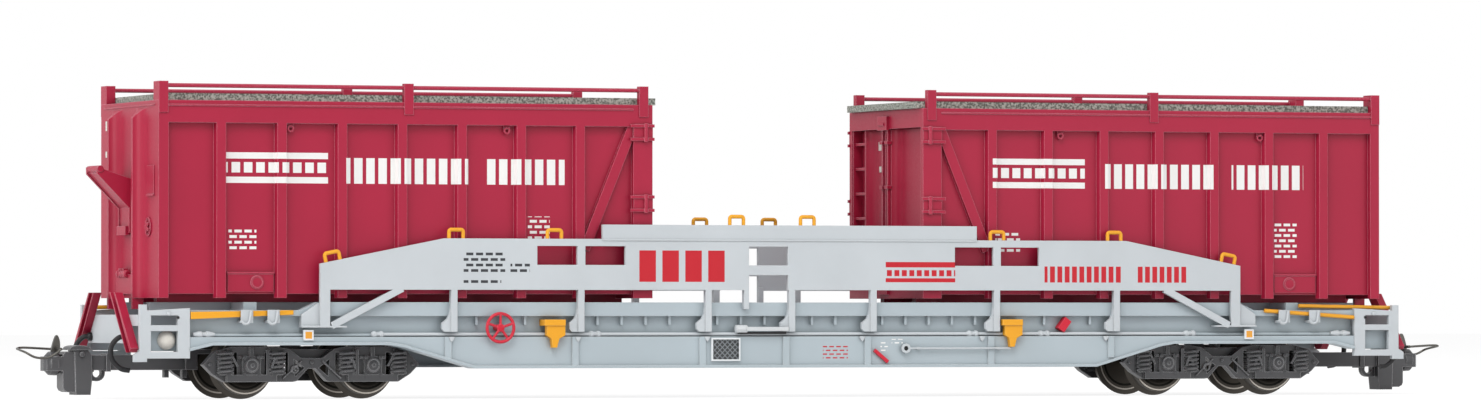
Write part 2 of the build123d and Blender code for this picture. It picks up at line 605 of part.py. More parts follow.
def headstock():
    """Left headstock: cross beam and the plate under it."""
    x = (-HEADSTOCK_OUTER, -HEADSTOCK_INNER)
    beam = block(x, (-HEADSTOCK_HALF_WIDTH, HEADSTOCK_HALF_WIDTH), HEADSTOCK_HEIGHT)
    plate = block(x, (-BUFFER_PLATE_HALF_WIDTH, BUFFER_PLATE_HALF_WIDTH),
                  (HEADSTOCK_HEIGHT[0] - BUFFER_PLATE_DEPTH, HEADSTOCK_HEIGHT[0]))
    return fuse([beam, plate])


def end_arm(side):
    """Slanted channel arm on the left headstock, open to the outside, with a chamfered foot."""
    top, bottom = ARM_TOP, ARM_BOTTOM
    lean = (bottom[0] - top[0]) / (top[1] - bottom[1])
    reach = ARM_WIDTH / 2 * hypot(1, lean)
    outer = [(top[0] - reach, top[1]), (top[0] + reach, top[1]), (bottom[0] + reach, bottom[1] + 0.6),
             (bottom[0] + reach - 0.7, bottom[1]), (bottom[0] - reach + 0.4, bottom[1])]
    hollow_half = reach - ARM_FLANGE
    run = bottom[0] + lean
    inner = [(top[0] - lean - hollow_half, top[1] + 1), (top[0] - lean + hollow_half, top[1] + 1),
             (run + hollow_half, bottom[1] - 1), (run - hollow_half, bottom[1] - 1)]
    face = -HEADSTOCK_OUTER - ARM_THICKNESS
    arm = end_plate([(side * y, z) for y, z in outer], (face, -HEADSTOCK_OUTER))
    return arm - end_plate([(side * y, z) for y, z in inner], (face - 1, -HEADSTOCK_OUTER - ARM_WEB))


def brake_hose(side):
    """Moulded brake hose that hangs in a bow under the left headstock."""
    y, x, z = side * HOSE_Y, -HEADSTOCK_OUTER, LOWER_WEB_TOP
    bow = [(0.0, 0.0), (1.5, 0.0), (2.5, 1.6), (2.2, 3.3), (0.9, 4.5), (-0.3, HOSE_DROP)]
    return bent_bar([(x - out, y, z - down) for out, down in bow], HOSE_RADIUS)


# Side truss

def truss_top(x):
    """Height and slope in degrees of the truss's top edge at a distance along the wagon."""
    if abs(x) < PANEL_HALF_LENGTH:
        return PANEL_TOP, 0.0
    if abs(x) < TRUSS_FLAT_X:
        return TRUSS_TOP, 0.0
    fall = (TRUSS_TOP - TRUSS_END_TOP) / (TRUSS_HALF_LENGTH - TRUSS_FLAT_X)
    return TRUSS_TOP - (abs(x) - TRUSS_FLAT_X) * fall, degrees(atan(fall)) * (1 if x > 0 else -1)


def truss():
    """Near truss: beam with its raised centre, windows, ladder bay, legs, braces and posts."""
    y = (-TRUSS_OUTER, -TRUSS_INNER)
    half = [(PANEL_HALF_LENGTH, PANEL_TOP), (PANEL_HALF_LENGTH, TRUSS_TOP), (TRUSS_FLAT_X, TRUSS_TOP),
            (TRUSS_HALF_LENGTH, TRUSS_END_TOP), (TRUSS_HALF_LENGTH, LEG_BOTTOM),
            (TRUSS_HALF_LENGTH - LEG_WIDTH, LEG_BOTTOM), (TRUSS_HALF_LENGTH - LEG_WIDTH, TRUSS_BOTTOM)]
    beam = side_plate(both_sides(half), y)
    through = (y[0] - 1, y[1] + 1)
    window_z = (WINDOW_BOTTOM, WINDOW_BOTTOM + WINDOW_HEIGHT)
    for x in WINDOW_POSTS:
        for side in (-1, 1):
            window_x = sorted((x + side * WINDOW_REACH[0], x + side * WINDOW_REACH[1]))
            beam -= block(window_x, through, window_z)
    beam -= block(LADDER_X, through, window_z)
    beam -= block(LADDER_X, through, (TRUSS_BOTTOM - 1, LADDER_RUNG))
    pieces = [beam]
    for x in POST_X:
        left, right = x - POST_WIDTH / 2, x + POST_WIDTH / 2
        post_z = (POST_BOTTOM, TRUSS_BOTTOM + 0.5)
        pieces.append(block((left, right), (-TRUSS_OUTER, -SILL_CHANNEL), post_z))
        toe = left - BRACKET_REACH
        bracket = [(right, POST_BOTTOM), (right, BRACKET_TOP + 1.2), (left, BRACKET_TOP + 1.2),
                   (left - 0.15, BRACKET_TOP + 0.1), (left - 0.5, BRACKET_TOP - 0.6), (toe, BRACKET_TOP - 1.2),
                   (toe, POST_BOTTOM + 0.4), (toe + 0.35, POST_BOTTOM)]
        pieces.append(side_plate(bracket, (-TRUSS_OUTER + 0.2, -SILL_CHANNEL)))
    for side in (-1, 1):
        start, end = [(side * x, z) for x, z in BRACE]
        pieces.append(strip(start, end, BRACE_WIDTH, y))
        foot_x = sorted((side * (TRUSS_HALF_LENGTH - FOOT_REACH), side * SILL_STEP_X))
        pieces.append(block(foot_x, (-TRUSS_OUTER, -SILL_WEB), (LEG_BOTTOM - FOOT_THICKNESS, LEG_BOTTOM)))
        inner = SILL_STEP_X - FOOT_BLOCK
        gusset = [(inner, LEG_BOTTOM), (SILL_STEP_X, LEG_BOTTOM), (SILL_STEP_X, CHANNEL_BOTTOM + 0.2),
                  (TRUSS_HALF_LENGTH + 0.2, SILL_TOP - 0.15), (inner, SILL_TOP - 0.15)]
        pieces.append(side_plate([(side * x, z) for x, z in gusset], (-TRUSS_INNER - 0.2, -SILL_CHANNEL)))
        pieces.append(block(sorted((side * inner, side * SILL_STEP_X)), (-SILL_CHANNEL - 0.1, -SILL_WEB),
                            (LEG_BOTTOM, CHANNEL_BOTTOM)))
    stile_x = (LADDER_X[0] - LADDER_STILE_WIDTH, LADDER_X[0])
    pieces.append(block(stile_x, (-TRUSS_OUTER, -SILL_CHANNEL), (CHANNEL_BOTTOM + 1.0, TRUSS_BOTTOM + 0.5)))
    return fuse(pieces)


def lashing_loop(x):
    """One loop standing on the near truss, leaning where the top edge slopes."""
    top, slope = truss_top(x)
    half, corner, wire = LASHING_WIDTH / 2, LASHING_CORNER, LASHING_WIRE
    outer = [(half, 0), (half, LASHING_HEIGHT - corner), (half - corner, LASHING_HEIGHT)]
    outline = outer + [(-x, z) for x, z in reversed(outer)]
    hole = block((-half + wire, half - wire), (-wire, wire), (wire * 0.7, LASHING_HEIGHT - wire))
    ring = side_plate(outline, (-wire / 2, wire / 2)) - hole
    return Pos(x, -(TRUSS_INNER + TRUSS_OUTER) / 2, top) * Rot(0, slope, 0) * ring


# Small fittings of the near side

def handwheel():
    """Spoked brake handwheel on a short spindle."""
    rim = bar((0, -HANDWHEEL_RIM, 0), (0, HANDWHEEL_RIM, 0), HANDWHEEL_RADIUS, 16)
    rim -= bar((0, -1, 0), (0, 1, 0), HANDWHEEL_RADIUS - 2 * HANDWHEEL_RIM, 16)
    half, reach = HANDWHEEL_SPOKE / 2, HANDWHEEL_RADIUS - HANDWHEEL_RIM
    spokes = [Rot(0, index * 360 / HANDWHEEL_SPOKES, 0)
              * block((-half, half), (-HANDWHEEL_RIM * 0.6, HANDWHEEL_RIM * 0.6), (0, reach))
              for index in range(HANDWHEEL_SPOKES)]
    face = -SILL_FLANGE - 0.5
    hub = bar((0, -0.35, 0), (0, -SILL_WEB - face, 0), 0.5)
    return Pos(HANDWHEEL_X, face, HANDWHEEL_HEIGHT) * fuse([rim, hub] + spokes)


def brake_box(x):
    """Yellow change-over box: lid, body and tapered spout."""
    right, middle, top = x + BRAKE_BOX_WIDTH, x + BRAKE_BOX_WIDTH / 2, BRAKE_BOX_TOP
    y = (-SILL_LOWER - BRAKE_BOX_THICKNESS, -SILL_LOWER)
    lid = block((x, right), (y[0] - 0.15, -SILL_WEB), (top - BRAKE_BOX_LID, top))
    foot = top - BRAKE_BOX_DEPTH
    body = side_plate([(x + 0.4, top - 0.4), (right, top - 0.4), (right, top - 2.3), (middle + 0.7, top - 2.8),
                       (middle + 0.35, foot), (middle - 0.35, foot), (middle - 0.5, top - 2.8),
                       (x + 0.4, top - 2.3)], y)
    return fuse([lid, body])


def card_holder():
    """Mesh holder for papers on the lower web."""
    plate = block(CARD_X, (-SILL_LOWER - CARD_RIM, -SILL_LOWER), CARD_HEIGHT)
    inner_x = (CARD_X[0] + CARD_RIM, CARD_X[1] - CARD_RIM)
    inner_z = (CARD_HEIGHT[0] + CARD_RIM, CARD_HEIGHT[1] - CARD_RIM)
    return plate - block(inner_x, (-SILL_LOWER - 2 * CARD_RIM, -SILL_LOWER - CARD_RIM / 2), inner_z)


def release_handle():
    """Cylinder and flat bar in front of the recess."""
    y, z, left = -SILL_LOWER - 0.2, HANDLE_HEIGHT, HANDLE_X[0]
    barrel = bar((left, y, z), (left + 1.7, y, z), HANDLE_BARREL, 12)
    lever = block((left + 1.5, HANDLE_X[1]), (y - 0.7, y - 0.35), (z - 0.3, z + 0.3))
    seat = block((left + 0.3, left + 1.3), (y, -SILL_WEB), (z - 0.35, z + 0.35))
    return fuse([barrel, lever, seat])


def brake_pipe():
    """Pipe along the top of the lower web, with its unions."""
    y, z = -(SILL_WEB + SILL_LOWER) / 2, LOWER_WEB_TOP + PIPE_RADIUS
    pieces = [bar((-PIPE_X, y, z), (PIPE_X, y, z), PIPE_RADIUS)]
    for x in PIPE_UNIONS:
        pieces.append(block((x - 0.3, x + 0.3), (y - 0.3, y + 0.3), (LOWER_WEB_TOP, z + 0.5)))
    return fuse(pieces)


def red_fittings():
    """Lever and tilted bottle."""
    start, end = (LEVER_X[0], BELLY_LOW + 2.55), (LEVER_X[1], BELLY_LOW + 0.8)
    lever = strip(start, end, 0.5, (-SILL_LOWER - 0.4, -SILL_LOWER))
    start, end = (BOTTLE_X[0], LOWER_WEB_TOP + 0.9), (BOTTLE_X[1], LOWER_WEB_TOP + 2.5)
    bottle = strip(start, end, 1.2, (-SILL_CHANNEL - 0.3, -SILL_WEB))
    return [lever, bottle]


def drain_rod():
    """Thin rod with an eye at its left end."""
    left, right, z, r = *DRAIN_ROD_X, DRAIN_ROD_HEIGHT, DRAIN_ROD_RADIUS
    y = -SILL_FLANGE - 0.2
    rod_bar = bar((left + 0.6, y, z), (right, y, z), r)
    eye = bar((left, y - r, z), (left, y + r, z), DRAIN_EYE_RADIUS, 8)
    eye -= bar((left, y - 1, z), (left, y + 1, z), DRAIN_EYE_RADIUS / 2, 8)
    seats = [block((x - 0.2, x + 0.2), (y, -SILL_LOWER), (z - 0.2, z + 0.2)) for x in (left + 2, right - 2)]
    return fuse([rod_bar, eye] + seats)


def reflectors():
    """Square reflectors below the truss feet."""
    top = LOWER_WEB_TOP + 1.0
    plates = []
    for side in (-1, 1):
        x = sorted((side * REFLECTOR_X, side * (REFLECTOR_X + REFLECTOR_SIZE)))
        plates.append(block(x, (-SILL_LOWER - 0.3, -SILL_LOWER), (top - REFLECTOR_SIZE, top - 1.0)))
        plates.append(block(x, (-SILL_LOWER - 0.3, -SILL_LOWER + 0.1), (top - 1.0, top)))
    return [fuse(plates[0:2]), fuse(plates[2:4])]


def lock_rods():
    """Yellow bars lying on the near end zones."""
    face, top = -SILL_CHANNEL, SILL_TOP
    left, right = -LOCK_BAR_X[1], -LOCK_BAR_X[0]
    flat = side_plate([(left, top - 2.45), (right, top - 1.8), (right, top - 1.15), (left, top - 1.4)],
                      (face - 0.45, face))
    places = (face - LOCK_ROD_RADIUS, face + 0.85)
    rods = []
    for (start, end), y in zip(LOCK_RODS, places):
        rods.append(bar((start[0], y, top - start[1]), (end[0], y, top - end[1]), LOCK_ROD_RADIUS))
    return [flat] + rods


def rod_clips():
    """Hooks that hold the yellow bars."""
    clips = []
    back = -SILL_CHANNEL - 0.65
    low, high = CHANNEL_BOTTOM - 1.0, SILL_END_TOP + 0.05
    for x in CLIP_X:
        plate = block((x - 0.9, x + 0.9), (back - 0.2, back), (low, high))
        foot = block((x - 0.9, x + 0.1), (back - 0.1, -SILL_WEB), (low, low + 0.35))
        clips.append(fuse([plate, foot]))
    return clips


def corner_dome():
    """Pale dome on the sill's end panel, seen through the near-left lower window."""
    face = -SILL_WEB
    rings = []
    for share, width in DOME_RINGS:
        crest = face - share * DOME_DEPTH
        rings.append(bar((-DOME_X, face, DOME_HEIGHT), (-DOME_X, crest, DOME_HEIGHT), DOME_RADIUS * width, 16))
    return fuse(rings)


def fitting_nodes():
    """Nodes that hold like pieces of both sides."""
    near = {
        "lashing_loops": [lashing_loop(x) for x in LASHING_X],
        "handwheels": [handwheel()],
        "brake_boxes": [brake_box(x) for x in BRAKE_BOX_X],
        "card_holders": [card_holder()],
        "release_handles": [release_handle()],
        "brake_pipes": [brake_pipe()],
        "red_fittings": red_fittings(),
        "drain_rods": [drain_rod()],
        "reflectors": reflectors(),
        "lock_rods": lock_rods(),
        "rod_clips": rod_clips(),
        "corner_domes": [corner_dome()],
    }
    return {name: group(pieces + [turned(piece) for piece in pieces]) for name, pieces in near.items()}


def wagon_nodes():
    """Frame, trusses, ends and fittings."""
    arms = [end_arm(side) for side in (-1, 1)]
    hoses = [brake_hose(side) for side in (-1, 1)]
    frames = [end_frame(), mirror(end_frame(), Plane.XZ)]
    nodes = {
        "side_sill_near": side_sill(),
        "side_sill_far": turned(side_sill()),
        "deck_frame": deck_frame(),
        "swivel_plates": group([swivel_plate(-PIVOT_X), swivel_plate(PIVOT_X)]),
        "truss_near": truss(),
        "truss_far": turned(truss()),
        "end_frames_left": group(frames),
        "end_frames_right": group([turned(frame) for frame in frames]),
        "headstock_left": headstock(),
        "headstock_right": turned(headstock()),
        "end_arms": group(arms + [turned(arm) for arm in arms]),
        "brake_hoses": group(hoses + [turned(hose) for hose in hoses]),
    }
    nodes.update(fitting_nodes())
    return nodes


# Containers, made at the left with the hook end outwards

def side_rib(x, side):
    """Pressed vertical rib on a side wall."""
    half, crest, back = SIDE_RIB_WIDTH / 2, SIDE_RIB_CREST / 2, PANEL_Y - 0.1
    points = [(x - half, back), (x + half, back), (x + crest, BOX_HALF_WIDTH), (x - crest, BOX_HALF_WIDTH)]
    return flat_plate([(x, side * y) for x, y in points], (BOX_FOOT, RAIL_BOTTOM + 0.1))


def side_walls():
    """What stands on both side walls: rails, ledges, corner posts, ribs, struts and runners."""
    left, right = -BOX_OUTER_X, -BOX_INNER_X
    back, middle = PANEL_Y - 0.1, (left + right) / 2
    pieces = []
    for side in (-1, 1):
        y = sorted((side * back, side * BOX_HALF_WIDTH))
        ledge_y = sorted((side * back, side * (BOX_HALF_WIDTH + LEDGE_PROUD)))
        pieces.append(block((left, right), y, (RAIL_BOTTOM, BOX_TOP)))
        half_lug = LUG_WIDTH / 2
        for ledge in ((left + LUG_WIDTH, middle - half_lug), (middle + half_lug, right - DOOR_POST_WIDTH)):
            pieces.append(block(ledge, ledge_y, LEDGE))
        for post in ((left, left + CORNER_WIDTH), (right - DOOR_POST_WIDTH, right)):
            pieces.append(block(post, y, (BOX_FOOT, BOX_TOP)))
        pieces += [side_rib(-SIDE_RIB_FIRST + index * SIDE_RIB_PITCH, side) for index in range(SIDE_RIBS)]
        start, end = [(-x, z) for x, z in STRUT]
        pieces.append(strip(start, end, STRUT_WIDTH, (side * back, side * (BOX_HALF_WIDTH - 0.2))))
        runner_y = sorted((side * RUNNER_Y[0], side * RUNNER_Y[1]))
        pieces.append(block((left + RUNNER_END, right - RUNNER_END), runner_y, (SILL_TOP, BOX_FLOOR + 0.2)))
    return pieces


def hook_rib(y):
    """Deep upright rib of the hook end, with hollow coves to both sides and a slanted top."""
    left = -BOX_OUTER_X
    face = left - HOOK_RIB_PROUD
    crest = HOOK_RIB_WIDTH / 2
    half = cove(face, crest, HOOK_RIB_PROUD, HOOK_COVE) + [(left + 0.2, crest + HOOK_COVE)]
    plan = [(x, y + offset) for x, offset in half] + [(x, y - offset) for x, offset in reversed(half)]
    rib = flat_plate(plan, (BOX_FOOT, HOOK_RIB_TOP))
    foot = block((face, left + 0.2), (y - crest, y + crest), (HOOK_RIB_FOOT, BOX_FOOT + 1))
    slant = [(face - 1, HOOK_RIB_TOP + 1), (left, HOOK_RIB_TOP + 1), (left, HOOK_RIB_TOP),
             (face, HOOK_RIB_TOP - HOOK_RIB_SLANT), (face - 1, HOOK_RIB_TOP - HOOK_RIB_SLANT)]
    return fuse([rib, foot]) - side_plate(slant, (y - HOOK_COVE - 1, y + HOOK_COVE + 1))


def container_tub():
    """Open box with its side walls' pressings, hook end and the frame round the doors."""
    left, right = -BOX_OUTER_X, -BOX_INNER_X
    shell = block((left, right - 0.2), (-PANEL_Y, PANEL_Y), (BOX_FLOOR, BOX_TOP))
    inner_y = PANEL_Y - WALL
    shell -= block((left + WALL, right + 1), (-inner_y, inner_y), (BOX_FLOOR + WALL, BOX_TOP + 1))
    half_latch, latch_proud, latch_height = LATCH_BOX
    head = block((right - CORNER_WIDTH, right), (-PANEL_Y, PANEL_Y), (DOOR_HEAD, BOX_TOP))
    sill = block((right - DOOR_POST_WIDTH, right), (-PANEL_Y, PANEL_Y), (BOX_FOOT, DOOR_SILL))
    toe = block((left, left + WALL), (-PANEL_Y, PANEL_Y), (BOX_FOOT, BOX_FLOOR + 0.2))
    latch = block((left - latch_proud, left + 0.2), (-half_latch, half_latch),
                  (BOX_FLOOR, BOX_FLOOR + latch_height))
    tub = fuse([shell, head, sill, toe, latch, hook_rib(-HOOK_RIB_Y), hook_rib(HOOK_RIB_Y)] + side_walls())
    pocket = DOOR_RECESS + DOOR_HOLLOW + DOOR_THICKNESS + DOOR_FIT
    return tub - block((right - pocket, right + 1), (-DOOR_POST_Y, DOOR_POST_Y), (DOOR_SILL, DOOR_HEAD))


def door_leaf(inner, outer, fields):
    """Door leaf between two values of Y, with hollow pressings whose ends are given."""
    face = -BOX_INNER_X - DOOR_RECESS
    plan = [(face, inner)]
    for start, end in fields:
        reach = DOOR_COVE if end > start else -DOOR_COVE
        plan += cove(face, start, -DOOR_HOLLOW, reach) + cove(face, end, -DOOR_HOLLOW, -reach)[::-1]
    back = face - DOOR_HOLLOW - DOOR_THICKNESS
    plan += [(face, outer), (back, outer), (back, inner)]
    return flat_plate(plan, (DOOR_SILL + DOOR_FIT, DOOR_HEAD - DOOR_FIT))


def container_doors():
    """Two door leaves: the near one with room for the ladder at its outer edge."""
    edge = DOOR_POST_Y - DOOR_FIT
    stile = LADDER_Y[1] + LADDER_BAR
    near = door_leaf(-LOCK_BAR_WIDTH, -edge, [(LOCK_BAR_Y[0] - 0.4, stile)])
    recess = (-BOX_INNER_X - DOOR_RECESS - DOOR_HOLLOW, -BOX_INNER_X)
    near -= block(recess, (-edge - 1, LADDER_Y[1]), (DOOR_SILL - 1, DOOR_HEAD + 1))
    far = door_leaf(-LOCK_BAR_WIDTH + DOOR_FIT, edge, [(LOCK_BAR_Y[1] + 0.4, edge - 0.3)])
    return [near, far]


def door_fittings():
    """Lock bars with their top and foot blocks, the ladder's rungs and the hinge plates."""
    right, face = -BOX_INNER_X, -BOX_INNER_X - DOOR_RECESS
    half, bar_x = LOCK_BAR_WIDTH / 2, (face, face + LOCK_BAR_WIDTH)
    pieces = [block(bar_x, (y - half, y + half), (DOOR_SILL, DOOR_HEAD)) for y in LOCK_BAR_Y]
    ends = (LOCK_BAR_Y[0] - 0.75, LOCK_BAR_Y[1] + 0.75)
    pieces.append(block((right, right + 0.5), ends, (DOOR_HEAD - 0.2, BOX_TOP - 0.9)))
    pieces.append(block((right, right + 0.4), ends, (DOOR_SILL - 1.2, DOOR_SILL + 0.4)))
    height = DOOR_HEAD - LADDER_PITCH / 2
    while height > DOOR_SILL + LADDER_BAR:
        pieces.append(block((face - LADDER_BAR, face), LADDER_Y, (height - LADDER_BAR, height)))
        height -= LADDER_PITCH
    length, tall, proud = HINGE_SIZE
    for side in (-1, 1):
        y = sorted((side * BOX_HALF_WIDTH, side * (BOX_HALF_WIDTH + proud)))
        pieces += [block((right - length, right), y, (top - tall, top)) for top in HINGE_TOPS]
    return pieces


def container_cover():
    """Roof cover laid between the lugs on the top rails, overhanging at the door end."""
    return block((-BOX_OUTER_X + LUG_WIDTH + 0.05, -BOX_INNER_X + COVER_OVERHANG),
                 (-COVER_HALF_WIDTH, COVER_HALF_WIDTH), (BOX_TOP, BOX_TOP + COVER_THICKNESS))


def container_rods():
    """Long rods above the side rails, each on three lugs, the corner one wide."""
    rods = []
    half = LUG_WIDTH / 2
    places = [-BOX_OUTER_X + half, -(BOX_OUTER_X + BOX_INNER_X) / 2, -BOX_INNER_X - 2 * half]
    for side in (-1, 1):
        y = side * (COVER_HALF_WIDTH + 0.65)
        outer = side * (BOX_HALF_WIDTH + LUG_PROUD)
        pieces = [bar((places[0], y, ROD_HEIGHT), (places[-1], y, ROD_HEIGHT), ROD_RADIUS)]
        for x in places:
            lug_y = sorted((side * (COVER_HALF_WIDTH + 0.05), outer))
            foot_y = sorted((side * BOX_HALF_WIDTH, outer))
            pieces.append(block((x - half, x + half), lug_y, (BOX_TOP, LUG_TOP)))
            pieces.append(block((x - half, x + half), foot_y, (LUG_FOOT, BOX_TOP + 0.1)))
        corner_y = sorted((outer, outer - side * CORNER_LUG_WIDTH))
        pieces.append(block((places[0] - half, places[0] + half), corner_y, (BOX_TOP, LUG_TOP)))
        rods.append(fuse(pieces))
    return rods


def container_bail():
    """Hook bail: two cheeks, the web between them and the crossbar at the tip."""
    wall = -BOX_OUTER_X
    tip, stem, w = wall - BAIL_REACH, wall - 0.9, BAIL_HALF_WIDTH
    cheek = [(tip, BAIL_TOP + 1.9), (wall, BAIL_TOP), (wall, BAIL_BOTTOM), (stem, BAIL_BOTTOM),
             (stem, BAIL_BEND), (tip, BAIL_TOP + 0.9)]
    web = [(tip + 0.3, BAIL_TOP + 1.0), (stem + 0.2, BAIL_BEND + 0.1), (stem + 0.2, BAIL_BOTTOM),
           (wall, BAIL_BOTTOM), (wall, BAIL_BEND + 0.8), (tip + 0.6, BAIL_TOP + 1.6)]
    pieces = [side_plate(cheek, sorted((side * w, side * (w - BAIL_PLATE)))) for side in (-1, 1)]
    pieces.append(side_plate(web, (-w + 0.1, w - 0.1)))
    bar_x, bar_z = tip + BAIL_BAR, BAIL_TOP + 1.6
    pieces.append(bar((bar_x, -w - 0.1, bar_z), (bar_x, w + 0.1, bar_z), BAIL_BAR, 12))
    return fuse(pieces)


def container_nodes():
    """Both containers, with their doors towards the middle of the wagon."""
    pieces = {"tub": container_tub(), "doors": group(container_doors()),
              "door_fittings": group(door_fittings()), "cover": container_cover(),
              "top_rods": group(container_rods()), "bail": container_bail()}
    nodes = {f"container_left_{name}": piece for name, piece in pieces.items()}
    nodes.update({f"container_right_{name}": turned(piece) for name, piece in pieces.items()})
    return nodes


os.makedirs("parts", exist_ok=True)
lift = Pos(0, 0, FLANGE_DEPTH)
for name, shape in {**wheelset_nodes(), **bogie_nodes(), **wagon_nodes(), **container_nodes()}.items():
    export_step(group([lift * shape]), f"parts/{name}.step")
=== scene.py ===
import json
import math

import bpy
import numpy as np
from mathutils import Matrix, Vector

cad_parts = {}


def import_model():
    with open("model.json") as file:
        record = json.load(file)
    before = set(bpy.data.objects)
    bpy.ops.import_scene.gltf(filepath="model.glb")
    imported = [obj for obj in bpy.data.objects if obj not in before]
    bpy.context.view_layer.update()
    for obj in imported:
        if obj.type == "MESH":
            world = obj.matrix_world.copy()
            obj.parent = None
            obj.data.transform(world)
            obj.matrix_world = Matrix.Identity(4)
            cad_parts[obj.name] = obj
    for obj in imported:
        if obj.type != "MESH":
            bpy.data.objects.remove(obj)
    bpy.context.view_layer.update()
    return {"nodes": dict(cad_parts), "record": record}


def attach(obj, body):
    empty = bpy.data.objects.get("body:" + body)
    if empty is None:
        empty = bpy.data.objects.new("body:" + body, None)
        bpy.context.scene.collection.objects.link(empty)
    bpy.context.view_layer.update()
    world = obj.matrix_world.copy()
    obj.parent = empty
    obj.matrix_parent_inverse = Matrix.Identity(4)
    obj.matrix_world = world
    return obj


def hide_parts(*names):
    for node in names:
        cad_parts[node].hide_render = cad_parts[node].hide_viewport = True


# Looks of a 1:87 model flatcar with two roll-off containers. X runs along the wagon, -Y is the side
# the camera sees, Z is up. Pieces are drawn in millimetres, with heights above the lowest point of the
# wheels' treads, and make() turns them to metres and lifts them by the depth of the wheel flanges. The
# far side is the near side turned half round the Z axis, and so is the right end of the left.

MM = 0.001
FLANGE_DEPTH = 0.6

# Camera: from the left of the near side, low down, as far off as a product photograph is taken
CAMERA_AZIMUTH = math.radians(-21.5)
CAMERA_ELEVATION = math.radians(0.83)
CAMERA_DISTANCE = 1100 * MM
CAMERA_HEIGHT = 12.4 * MM
CAMERA_AIM = Vector((-2 * MM, 0, 24 * MM))
CAMERA_LENS = 179.2
CAMERA_SENSOR = 36

# Stage: side of the floor in metres, its glow to the camera, and the world's light on the object
FLOOR_SIZE = 6.0
FLOOR_GLOW = 1.2
FLOOR_GLOW_SHARE = 0.7
WORLD_LIGHT = 0.4
PURE_WHITE = (1, 1, 1, 1)

# Lamps: name, place and side in metres, and power in watts. All face the middle of the object
LAMPS = (("key", (-0.35, -0.6, 0.9), 0.6, 6.0), ("fill", (0.7, -0.9, 0.4), 0.9, 3.0),
         ("end", (-1.3, -0.25, 0.35), 0.6, 7.0))
LAMP_AIM = Vector((0, 0, 0.02))

# sRGB colours of the paints and mouldings
CRIMSON = "A81C3C"
LIGHT_GREY = "C6CCD0"
BLUE_GREY = "B2BEC4"
BOGIE_GREY = "545456"
BLACKENED = "5A5854"
WHEEL_DISC = "3E3A35"
WHEEL_RIM = "48443F"
# Painted shade in the wheels' groove. The turned steel below is also the colour of the wheels' painted
# highlight near the rim
GROOVE_SHADE_COLOUR = "14130F"
TREAD_STEEL = "B0AAA2"
TRAFFIC_YELLOW = "F0A826"
SIGNAL_RED = "CE2036"
DARK_SAND = "62655E"
PALE_SAND = "B4B7AE"
PEARL = "DAD6CE"
SILVER_GREY = "D2D6D8"
HOSE_BLACK = "262628"
AMBER = "E8A030"
LENS_PLATE = "E6EAEC"
MESH_GREY = "7A8084"
MESH_DARK = "2E3032"
MESH_FRAME = "E4E8EA"
PRINT_WHITE = "F0F0EE"
PRINT_RED = "C41E2C"
PRINT_BLACK = "3A3C40"
FLOOR_WHITE = "F4F4F4"

# Painted highlights on the edges: the tones that the edges' colour is mixed towards
PALE_EDGE_HIGHLIGHT = "F4F6F6"
PINK_EDGE_HIGHLIGHT = "E8A0B0"
GREY_EDGE_HIGHLIGHT = "C8C8CA"
YELLOW_EDGE_HIGHLIGHT = "FFE090"
RED_EDGE_HIGHLIGHT = "F090A0"

# Places of the wagon's own pieces that the added ones stand on
TREAD_RADIUS = 4.3
PIVOT_X = 72.5
HALF_WHEELBASE = 9.2
SIDE_FACE = 10.0
BOX_OUTER_X = 96.9
BOX_INNER_X = 21.5
BOX_SIDE = 14.35
PANEL_SIDE = 13.5
LOWER_WEB = 14.9
LOWER_WEB_TOP = 8.4
SILL_WEB = 13.6
TRUSS_MIDDLE = 15.2
HEADSTOCK_X = 99.9

# Print on both sides, as seen from outside: left, right, bottom and top of each plain bar or block
BOX_LINES = ((-86.6, -71.2, 34.0, 34.9), (-86.6, -71.2, 30.5, 31.4),
             (32.8, 48.2, 34.0, 34.9), (32.8, 48.2, 30.5, 31.4))
BOX_WORDS = ((-86.6, -71.2, 32.0, 33.5), (-68.7, -49.8, 30.5, 34.2), (-46.9, -34.9, 30.5, 34.2),
             (32.8, 48.2, 32.0, 33.5), (50.7, 69.6, 30.5, 34.2), (72.5, 84.5, 30.5, 34.2))
BOX_DATA = ((-86.2, -82.0, 20.6, 24.2), (-40.6, -37.2, 22.3, 25.9),
            (33.2, 37.6, 20.6, 24.2), (79.6, 83.4, 20.2, 25.4))
TRUSS_LINES = ((-24.0, -21.4, 16.4, 21.0), (-20.4, -17.8, 16.4, 21.0), (-16.8, -14.2, 16.4, 21.0),
               (-13.2, -10.6, 16.4, 21.0), (15.0, 26.2, 18.6, 19.4), (15.0, 26.2, 16.4, 17.0))
TRUSS_WORDS = ((15.0, 26.2, 17.3, 18.2), (40.7, 53.6, 16.4, 18.8), (55.6, 64.2, 16.4, 18.8))
TRUSS_DATA = ((-51.2, -44.8, 17.6, 20.6), (-44.0, -41.0, 17.8, 19.4), (-51.2, -45.4, 15.9, 16.9))
SILL_DATA = ((5.2, 9.2, 4.9, 7.3),)
SILL_MARKS = ((14.4, 15.6, 6.2, 7.6), (16.2, 18.0, 7.2, 8.0))

# Width, height and gap of the print's dashes, in millimetres
LETTERS = (1.85, 100.0, 0.28)
SMALL_LETTERS = (1.2, 100.0, 0.2)
ROWS = (1.5, 0.8, 0.2)
FINE_ROWS = (1.1, 0.55, 0.18)

# How far out of the middle print begins, on the containers, the trusses and the sills
BOX_PRINT_FACE = 13.3
TRUSS_PRINT_FACE = 15.45
SILL_PRINT_FACE = 14.85

# Sizes of the finishes' patterns in metres, the mottling's strength, and how far the painted shade reaches
# from nearby walls into recesses
CLOUD_SIZE = 9 * MM
GRAIN_SIZE = 0.3 * MM
MOTTLE = 0.03
PAINTED_SHADE_REACH = 1.6 * MM

